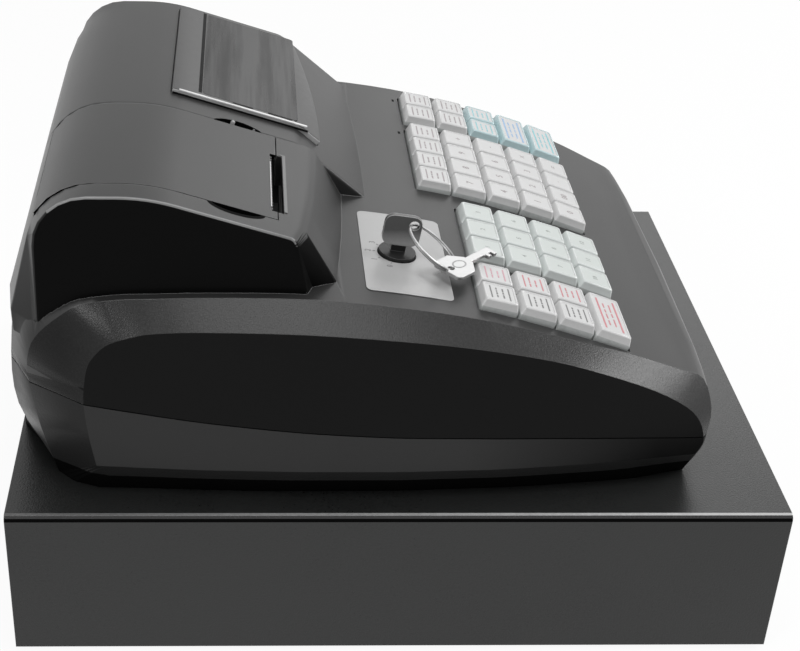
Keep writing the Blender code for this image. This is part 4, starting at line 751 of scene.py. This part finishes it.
# Figures and signs on the number keys
NUMBERS = {
    "b21": "7", "b22": "8", "b23": "9", "b24": "+", "b31": "4", "b32": "5", "b33": "6", "b34": "-",
    "b41": "1", "b42": "2", "b43": "3", "b44": "x", "b51": "0", "b52": "00", "b53": ".", "b54": "=",
    "c21": "1", "c22": "2", "c23": "3", "c31": "4", "c32": "5", "c33": "6",
    "c41": "7", "c42": "8", "c43": "9", "c51": "10", "c52": "11", "c53": "12"}
# Height of the figures on each group's number keys
FIGURE_HEIGHTS = {"b": 0.0042, "c": 0.0028}


def legend_for(label):
    """Kind of print on a key, and the place of its ink among the cap's materials."""
    group, row, column = label[0], int(label[1]), int(label[2])
    if group == "a" and row > 3:
        return "stripes", SECOND_INK if row == 4 else THIRD_INK
    if group == "a":
        return "lines", THIRD_INK if row == 3 else FIRST_INK
    if group == "b" and row == 1:
        return "lines", FIRST_INK
    if group == "d" and row == 5:
        return "stripes", FIRST_INK
    if group == "d":
        return "lines", (FIRST_INK if row > 2 else SECOND_INK) if column == 2 else THIRD_INK
    return "number", FIRST_INK


KEY_INKS = {
    "a": (CAP, LABEL, INK_FAINT, INK_BLUE, INK_CYAN, SKIRT),
    "b": (CAP, LABEL, INK_FAINT, INK, INK, SKIRT),
    "c": (CAP_GREEN, LABEL_GREEN, INK_GREY, INK, INK, SKIRT),
    "d": (CAP, LABEL, INK_RED, INK_PINK, INK, SKIRT)}
# Dashes of one printed line as (start, end) shares of its length
DASHES = (((0.0, 0.34), (0.42, 0.60), (0.66, 1.0)), ((0.12, 0.40), (0.48, 0.86)),
          ((0.0, 0.22), (0.30, 0.52), (0.58, 0.72), (0.80, 1.0)))
# Lines of print on a label: their reach across it, and their places along it as shares of its half size
PRINT_REACH = 0.80
STRIPE_REACH = 1.08
DASH_REACH = 0.78
LINE_PLACES = (0.66, -0.66)
DASH_PLACES = (0.24, -0.22)
LINE_THICKNESS = 0.0007
STRIPE_THICKNESS = 0.0010
DASH_THICKNESS = 0.0008


def add_dashes(bm, turn, centre, reach, thickness, kind, ink):
    """Line of short dashes that stands for a printed word."""
    for start, end in DASHES[kind % len(DASHES)]:
        middle = centre[0] + reach * ((start + end) / 2 - 0.5)
        add_bar(bm, turn, (middle, centre[1], centre[2]), (reach * (end - start), thickness), ink)


def add_legend(bm, turn, label, half):
    """Figures of a number key, or two bars with two broken lines between them."""
    kind, ink = legend_for(label)
    level = LABEL_LEVEL + PRINT_LIFT
    if kind == "number":
        add_digits(bm, turn, NUMBERS[label], FIGURE_HEIGHTS[label[0]], (0.0, 0.0, level), ink)
        return
    reach = 2 * half[0] * PRINT_REACH
    size = (reach * STRIPE_REACH, STRIPE_THICKNESS) if kind == "stripes" else (reach, LINE_THICKNESS)
    for share in LINE_PLACES:
        add_bar(bm, turn, (0.0, share * half[1], level), size, ink)
    pattern = ord(label[0]) + 3 * int(label[1]) + int(label[2])
    for row, share in enumerate(DASH_PLACES):
        centre = (0.0, share * half[1], level)
        add_dashes(bm, turn, centre, reach * DASH_REACH, DASH_THICKNESS, pattern + row, ink)


def build_keys():
    for group, group_columns, first_row, double_rows in KEY_GROUPS:
        for row in range(first_row, ROWS + 1):
            columns = 1 if row in double_rows else group_columns
            width = COLUMN_PITCH * group_columns / columns
            for column in range(columns):
                label = "%s%d%d" % (group, row, column + 1)
                x = GROUP_LEFT_EDGES[group] + width * (column + 0.5)
                turn = deck_turn(FIRST_ROW_ARC + (row - 1) * ROW_PITCH, x)
                bm = bmesh.new()
                half = add_cap(bm, turn, width)
                add_legend(bm, turn, label, half)
                inks = list(KEY_INKS[group])
                if group == "a" and row > 2:
                    inks[0] = CAP_BLUE
                piece = add_piece("cap_" + label, bm, inks, "key_" + label)
                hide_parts("key_" + label)


# Lock plate

PLATE_LEFT = -0.1216
PLATE_RIGHT = -0.0395
PLATE_FRONT_Y = -0.0240
PLATE_REAR_Y = 0.0189
PLATE_CORNER = 0.0032
PLATE_FOOT = 0.00005
PLATE_THICKNESS = 0.0004
# Usual step along the plate's outline, and its rings as shares of the way from the lock's hole out to it
PLATE_STEP = 0.004
PLATE_SHARES = (0.0, 0.1, 0.25, 0.5, 0.75, 1.0)
LOCK_X = -0.0817
LOCK_Y = 0.0011
LOCK_HOLE = 0.0100
# Positions of the mode key as (degrees, figure), with the figures' reach and height, and the ticks by them
LOCK_MARKS = ((162, "0"), (126, "1"), (90, "2"), (54, "3"))
MARK_REACH = 0.0148
MARK_HEIGHT = 0.0032
TICK_PLACE = -0.0032
TICK_SIZE = (0.0014, 0.0005)


def build_lock_plate():
    """Silver plate that follows the deck, with a hole for the lock and its position marks."""
    centre = ((PLATE_LEFT + PLATE_RIGHT) / 2, (PLATE_FRONT_Y + PLATE_REAR_Y) / 2)
    half = ((PLATE_RIGHT - PLATE_LEFT) / 2, (PLATE_REAR_Y - PLATE_FRONT_Y) / 2)
    outline = [(centre[0] + x, centre[1] + y) for x, y in rounded_rectangle(*half, PLATE_CORNER, 6)]
    dense = []
    for (x0, y0), (x1, y1) in zip(outline, outline[1:] + outline[:1]):
        pieces = max(1, round(math.hypot(x1 - x0, y1 - y0) / PLATE_STEP))
        dense += [(x0 + (x1 - x0) * k / pieces, y0 + (y1 - y0) * k / pieces) for k in range(pieces)]
    rings = []
    for share in PLATE_SHARES:
        ring = []
        for x, y in dense:
            angle = math.atan2(y - LOCK_Y, x - LOCK_X)
            hx, hy = LOCK_X + LOCK_HOLE * math.cos(angle), LOCK_Y + LOCK_HOLE * math.sin(angle)
            ring.append((hx + (x - hx) * share, hy + (y - hy) * share))
        rings.append(ring)
    layers = [[deck_point(x, y, PLATE_THICKNESS) for x, y in ring] for ring in rings]
    layers += [[deck_point(x, y, PLATE_FOOT) for x, y in ring] for ring in rings[::-1]]
    bm = bmesh.new()
    loops = [[bm.verts.new(point) for point in ring] for ring in layers]
    skin(bm, loops + loops[:1])
    for angle, text in LOCK_MARKS:
        place = math.radians(angle)
        turn = deck_frame(LOCK_X + MARK_REACH * math.cos(place), LOCK_Y + MARK_REACH * math.sin(place),
                          PLATE_THICKNESS)
        add_digits(bm, turn, text, MARK_HEIGHT, (0.0, 0.0, PRINT_LIFT), 1)
        tick = turn @ Matrix.Rotation(place, 4, "Z")
        add_bar(bm, tick, (TICK_PLACE, 0.0, PRINT_LIFT), TICK_SIZE, 1)
    piece = add_piece("lock_plate", bm, (PLATE, INK), "register")


# Ring between the two keys: its ends in the lock's frame, and the spare key's heading and rise
RING_HOOK = (0.0, -0.0055, 0.0176)
RING_EYE = (-0.0205, -0.0243, 0.0064)
RING_WIRE = 0.0006
RING_STEPS = 40
RING_SIDES = 8
SPARE_HEADING = math.radians(-44.0)
SPARE_RISE = math.radians(3.0)
# Border on the spare key's head: its centre, and its sections as half length, half width and height
BORDER_CENTRE = 0.0066
BORDER_STEPS = 28
BORDER_SECTIONS = ((0.0043, 0.0032, 0.0008), (0.0043, 0.0032, 0.00096),
                   (0.0035, 0.0024, 0.00096), (0.0035, 0.0024, 0.0008))


def build_ring_coil():
    """Second coil of the split ring, beside the one that the spare key's solid has."""
    hook, eye = Vector(RING_HOOK), Vector(RING_EYE)
    span = (eye - hook).normalized()
    across = Vector((1.0, 0.0, 0.0))
    across = (across - span * across.dot(span)).normalized()
    plane = Matrix((span, across, span.cross(across))).transposed().to_4x4()
    plane.translation = (hook + eye) / 2
    place = deck_frame(LOCK_X, LOCK_Y) @ plane
    radius = (eye - hook).length / 2
    bm = bmesh.new()
    loops = []
    for step in range(RING_STEPS):
        angle = 2 * math.pi * step / RING_STEPS
        loop = []
        for side in range(RING_SIDES):
            wire = 2 * math.pi * side / RING_SIDES
            reach = radius + RING_WIRE * math.cos(wire)
            level = 2 * RING_WIRE * math.cos(angle / 2) + RING_WIRE * math.sin(wire)
            point = Vector((reach * math.cos(angle), reach * math.sin(angle), level))
            loop.append(bm.verts.new(place @ point))
        loops.append(loop)
    skin(bm, loops)
    bm.faces.new(loops[0][::-1])
    bm.faces.new(loops[-1])
    body = NODES["spare_key"]["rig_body"]
    add_piece("ring_coil", bm, (RING_STEEL,), body)


def build_spare_key_border():
    """Oval border on the spare key's head."""
    lie = (deck_frame(LOCK_X, LOCK_Y) @ Matrix.Translation(RING_EYE)
           @ Matrix.Rotation(SPARE_HEADING, 4, "Z") @ Matrix.Rotation(-SPARE_RISE, 4, "Y"))
    bm = bmesh.new()
    loops = [[bm.verts.new(lie @ Vector((BORDER_CENTRE + x, y, level)))
              for x, y in ellipse(length, width, BORDER_STEPS)] for length, width, level in BORDER_SECTIONS]
    skin(bm, loops + loops[:1])
    body = NODES["spare_key"]["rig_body"]
    add_piece("spare_key_border", bm, (RING_STEEL,), body)


# Printer trim

# Slabs on the hood's slope, as left, right, front, rear, low and high
TEAR_BLADE = (-0.1035, -0.0540, 0.0646, 0.0651, -0.0002, 0.0003)
SLOT_LIPS = ((-0.1062, -0.0440, 0.0572, 0.0587, -0.0003, 0.0004),
             (-0.0442, -0.0430, 0.0572, 0.0600, -0.0003, 0.0004))
# Pale pips that paint glints in the right finger notch as x, y and radius, and their sections as share of
# the radius and height
NOTCH_PIPS = ((-0.0168, 0.0836, 0.0012), (-0.0180, 0.0722, 0.0010))
PIP_SECTIONS = ((1.0, -0.0030), (1.0, -0.0008), (0.8, -0.0003), (0.4, 0.0))
PIP_SIDES = 16
# Crescent of painted shade along the left finger notch: its middle, outer and inner reach and half length,
# and heights
CRESCENT_PLACE = (-0.1151, 0.0815)
CRESCENT_OUTER = (0.0072, 0.0144)
CRESCENT_INNER = (0.0048, 0.0122)
CRESCENT_STEPS = 16
CRESCENT_LEVELS = (-0.0004, 0.00006)


def slope_slab(bm, x_from, x_to, y_from, y_to, low, high, radius=0.0002):
    """Thin slab on the hood's slope between two lifts, with rounded corners in plan."""
    stretch = math.sqrt(1 + SLOPE_FALL ** 2)
    half = ((x_to - x_from) / 2, (y_to - y_from) / 2 * stretch)
    turn = slope_turn((x_from + x_to) / 2, (y_from + y_to) / 2)
    rings = [[(x, y, z) for x, y in rounded_rectangle(half[0], half[1], radius, 3)] for z in (low, high)]
    loft(bm, rings, turn)


def build_printer_trim():
    """Tear blade on the cover, lip round the slot, pale pips in one finger notch and painted shade along the
    other.
    """
    bm = bmesh.new()
    slope_slab(bm, *TEAR_BLADE)
    add_piece("tear_blade", bm, (BLADE,), "printer_cover")
    bm = bmesh.new()
    for lip in SLOT_LIPS:
        slope_slab(bm, *lip)
    add_piece("slot_lip", bm, (LIP,), "register")
    bm = bmesh.new()
    for x, y, radius in NOTCH_PIPS:
        rings = [[(px, py, height) for px, py in ellipse(radius * share, radius * share, PIP_SIDES)]
                 for share, height in PIP_SECTIONS]
        loft(bm, rings, slope_turn(x, y))
    add_piece("notch_pips", bm, (GLINT_PIP,), "register")
    bm = bmesh.new()
    arc = [math.pi * step / CRESCENT_STEPS for step in range(CRESCENT_STEPS + 1)]
    outer = [(-CRESCENT_OUTER[0] * math.sin(turn), CRESCENT_OUTER[1] * math.cos(turn)) for turn in arc]
    inner = [(-CRESCENT_INNER[0] * math.sin(turn), CRESCENT_INNER[1] * math.cos(turn)) for turn in arc[::-1]]
    rings = [[(x, y, z) for x, y in outer + inner] for z in CRESCENT_LEVELS]
    loft(bm, rings, slope_turn(*CRESCENT_PLACE))
    add_piece("notch_edge_shade", bm, (SHADE_AND_JOINTS,), "register")


# Paper between the roll and the slot, with the roll's and the platen's places as (y, z)
ROLL_CENTRE = Vector((0.1310, 0.2115))
ROLL_REACH = 0.0263
PLATEN_CENTRE = Vector((0.0750, 0.2090))
PLATEN_REACH = 0.0060
STRIP_LEFT = -0.1043
STRIP_RIGHT = -0.0477
STRIP_END = Vector((0.0650, 0.2190))
STRIP_THICKNESS = 0.00012
# Degrees that the paper still follows the roll before it leaves it
WRAP = (50, 40, 30, 20, 10, 0)
# Points between the roll and the platen and from there to the slot, and how far both runs bow
SPAN_STEPS = 7
RISE_STEPS = 4
STRIP_BOW = 0.0012


def build_paper_strip():
    """Loose end of the paper, drawn off the top of the roll, over the platen and up to the slot."""
    reach = PLATEN_CENTRE - ROLL_CENTRE
    tangent = (math.atan2(reach.y, reach.x) % (2 * math.pi)
               - math.acos((PLATEN_REACH - ROLL_REACH) / reach.length))
    path = []
    for degrees in WRAP:
        angle = tangent + math.radians(degrees)
        path.append(ROLL_CENTRE + ROLL_REACH * Vector((math.cos(angle), math.sin(angle))))
    start = path[-1]
    end = PLATEN_CENTRE + PLATEN_REACH * Vector((math.cos(tangent), math.sin(tangent)))
    for step in range(1, SPAN_STEPS + 1):
        share = step / SPAN_STEPS
        path.append(start.lerp(end, share) + Vector((0.0, STRIP_BOW * math.sin(math.pi * share))))
    for step in range(1, RISE_STEPS + 1):
        share = step / RISE_STEPS
        path.append(end.lerp(STRIP_END, share) - Vector((0.0, STRIP_BOW * math.sin(math.pi * share))))
    section = ((STRIP_LEFT, 0.0), (STRIP_RIGHT, 0.0), (STRIP_RIGHT, STRIP_THICKNESS),
               (STRIP_LEFT, STRIP_THICKNESS))
    bm = bmesh.new()
    loft(bm, [[(x, y, z + lift) for x, lift in section] for y, z in path])
    add_piece("paper_strip", bm, (PAPER,), "register")


# Height of the display's glass over the slope, and the pieces on it as slabs with a corner radius
GLASS_LIFT = 0.0026
# The first slab paints the shade in the gap along the glass's left edge; the others are dark lines
DISPLAY_GROOVES_AND_GAP_SHADE = (
    (-0.0041, -0.0034, 0.0440, 0.1160, -0.0002, 0.0008, 0.0002),
    (0.0010, 0.1190, 0.1012, 0.1030, GLASS_LIFT - 0.0002, GLASS_LIFT + 0.00006, 0.0002),
    (-0.0009, 0.0004, 0.0530, 0.0660, GLASS_LIFT - 0.0002, GLASS_LIFT + 0.00006, 0.0005),
    (-0.0009, 0.0003, 0.0740, 0.0850, GLASS_LIFT - 0.0002, GLASS_LIFT + 0.00006, 0.0005))
DISPLAY_MASK = (0.0005, 0.1185, 0.0500, 0.1008, GLASS_LIFT - 0.0002, GLASS_LIFT + 0.00005, 0.002)
# Pale slab along the glass's left edge that paints its highlight
DISPLAY_RIM_HIGHLIGHT = (-0.0036, -0.0018, 0.0450, 0.1130, GLASS_LIFT - 0.0006, GLASS_LIFT + 0.00008, 0.0005)


def build_display():
    """Dark lines round the display's glass with painted shade in the gap at its left, the mask on it streaked
    with painted reflections, and a slab at its left that paints the highlight of its rim.
    """
    bm = bmesh.new()
    for groove in DISPLAY_GROOVES_AND_GAP_SHADE:
        slope_slab(bm, *groove)
    add_piece("display_groove_and_gap_shade", bm, (GROOVE_AND_GAP_SHADE,), "register")
    bm = bmesh.new()
    slope_slab(bm, *DISPLAY_MASK)
    add_piece("display_mask", bm, (INNER_GLASS,), "register")
    bm = bmesh.new()
    slope_slab(bm, *DISPLAY_RIM_HIGHLIGHT)
    add_piece("display_rim_highlight", bm, (GLASS_RIM_HIGHLIGHT,), "register")


# Painted shade for small cuts at the corners of the key wells: dark slabs at (x, y), with their half size,
# corner and heights
CORNER_CUTS = ((0.1167, -0.0137), (0.0697, -0.0136), (-0.0190, -0.0322), (-0.0028, -0.1125),
               (-0.0713, -0.1118), (-0.0845, -0.1302))
CUT_HALF = (0.0016, 0.0014)
CUT_CORNER = 0.0004
CUT_LEVELS = (-0.0004, 0.00006)


def build_corner_cuts():
    bm = bmesh.new()
    outline = rounded_rectangle(*CUT_HALF, CUT_CORNER, 2)
    for x, y in CORNER_CUTS:
        loft(bm, [[(px, py, z) for px, py in outline] for z in CUT_LEVELS], deck_frame(x, y))
    add_piece("well_corner_shade", bm, (SHADE_AND_JOINTS,), "register")


# Stage, lights and camera

# Floor's radius and colour, how far it turns to white where it is seen, and the world's light on surfaces
FLOOR_RADIUS = 6.0
FLOOR_COLOUR = 0.80
FLOOR_SHARE = 0.93
WORLD_STRENGTH = 0.30


def seen_plainly(tree):
    """1 for what the camera, gloss and glass see, and 0 for the light that falls on surfaces."""
    paths = tree.nodes.new("ShaderNodeLightPath").outputs
    return math_node(tree, "MAXIMUM", paths["Is Camera Ray"],
                     math_node(tree, "MAXIMUM", paths["Is Glossy Ray"], paths["Is Transmission Ray"]))


def stage_material(name, colour, share):
    """Pale surface that the camera, gloss and glass see as nearly white, with the shadow kept."""
    made, tree, shader = new_material(name, Base_Color=grey(colour), Roughness=0.9)
    white = node(tree, "ShaderNodeEmission", Color=grey(1.0), Strength=1.0)
    mixed = tree.nodes.new("ShaderNodeMixShader")
    tree.links.new(math_node(tree, "MULTIPLY", seen_plainly(tree), share), mixed.inputs[0])
    tree.links.new(shader.outputs["BSDF"], mixed.inputs[1])
    tree.links.new(white.outputs["Emission"], mixed.inputs[2])
    tree.links.new(mixed.outputs["Shader"], tree.nodes["Material Output"].inputs["Surface"])
    return made


def build_stage():
    bm = bmesh.new()
    bmesh.ops.create_circle(bm, cap_ends=True, segments=64, radius=FLOOR_RADIUS)
    mesh = bpy.data.meshes.new("floor")
    bm.to_mesh(mesh)
    bm.free()
    floor = bpy.data.objects.new("floor", mesh)
    bpy.context.scene.collection.objects.link(floor)
    mesh.materials.append(stage_material("floor_white", FLOOR_COLOUR, FLOOR_SHARE))


def build_world():
    world = bpy.data.worlds.new("studio")
    world.use_nodes = True
    bpy.context.scene.world = world
    tree = world.node_tree
    background = tree.nodes["Background"]
    background.inputs["Color"].default_value = grey(1.0)
    tree.links.new(ramp(tree, seen_plainly(tree), WORLD_STRENGTH, 1.0), background.inputs["Strength"])


def softbox(name, place, target, width, height, power):
    """Rectangular lamp that faces a target; its size is in metres and its power in watts."""
    lamp = bpy.data.lights.new(name, "AREA")
    lamp.shape = "RECTANGLE"
    lamp.size = width
    lamp.size_y = height
    lamp.energy = power
    made = bpy.data.objects.new(name, lamp)
    bpy.context.scene.collection.objects.link(made)
    made.location = place
    aim = Vector(target) - Vector(place)
    made.rotation_euler = aim.to_track_quat("-Z", "Y").to_euler()


def build_lights():
    softbox("front_softbox", (0.20, -1.60, 1.15), (0.0, 0.0, 0.12), 0.8, 0.6, 20.0)
    softbox("top_softbox", (-0.35, 0.0, 1.95), (0.0, 0.0, 0.1), 1.0, 1.0, 18.0)
    softbox("side_softbox", (-1.20, 1.10, 1.25), (0.0, 0.0, 0.15), 0.3, 0.3, 7.0)
    softbox("rear_softbox", (1.60, -0.65, 1.15), (0.0, 0.0, 0.15), 0.8, 0.8, 3.0)


# Camera from the photograph's perspective: yaw, pitch and roll about its own axis, in radians
CAMERA_PLACE = (-0.764592, 0.077676, 0.567507)
CAMERA_YAW = -0.034535
CAMERA_PITCH = 0.547102
CAMERA_ROLL = 0.021084
FOCAL_PIXELS = 1552.1
FRAME_WIDTH = 800
FRAME_HEIGHT = 651
SENSOR = 36.0
PRINCIPAL = (290.0, 318.5)


def build_camera():
    data = bpy.data.cameras.new("camera")
    data.sensor_width = SENSOR
    data.lens = FOCAL_PIXELS * SENSOR / FRAME_WIDTH
    data.shift_x = (FRAME_WIDTH / 2 - PRINCIPAL[0]) / FRAME_WIDTH
    data.shift_y = (PRINCIPAL[1] - FRAME_HEIGHT / 2) / FRAME_WIDTH
    data.clip_start = 0.01
    data.clip_end = 30.0
    camera = bpy.data.objects.new("camera", data)
    bpy.context.scene.collection.objects.link(camera)
    level = math.cos(CAMERA_PITCH)
    forward = Vector((level * math.cos(CAMERA_YAW), level * math.sin(CAMERA_YAW),
                      -math.sin(CAMERA_PITCH)))
    right = forward.cross(Vector((0.0, 0.0, 1.0))).normalized()
    up = right.cross(forward)
    tilted = math.cos(CAMERA_ROLL) * right + math.sin(CAMERA_ROLL) * up
    upright = -math.sin(CAMERA_ROLL) * right + math.cos(CAMERA_ROLL) * up
    turn = Matrix((tilted, upright, -forward)).transposed().to_4x4()
    camera.matrix_world = Matrix.Translation(CAMERA_PLACE) @ turn
    bpy.context.scene.camera = camera


build_camera()
build_world()
build_lights()
build_stage()
dress_nodes()
build_keys()
build_lock_plate()
build_ring_coil()
build_spare_key_border()
build_printer_trim()
build_paper_strip()
build_display()
build_corner_cuts()
bpy.context.scene.view_settings.view_transform = "Standard"
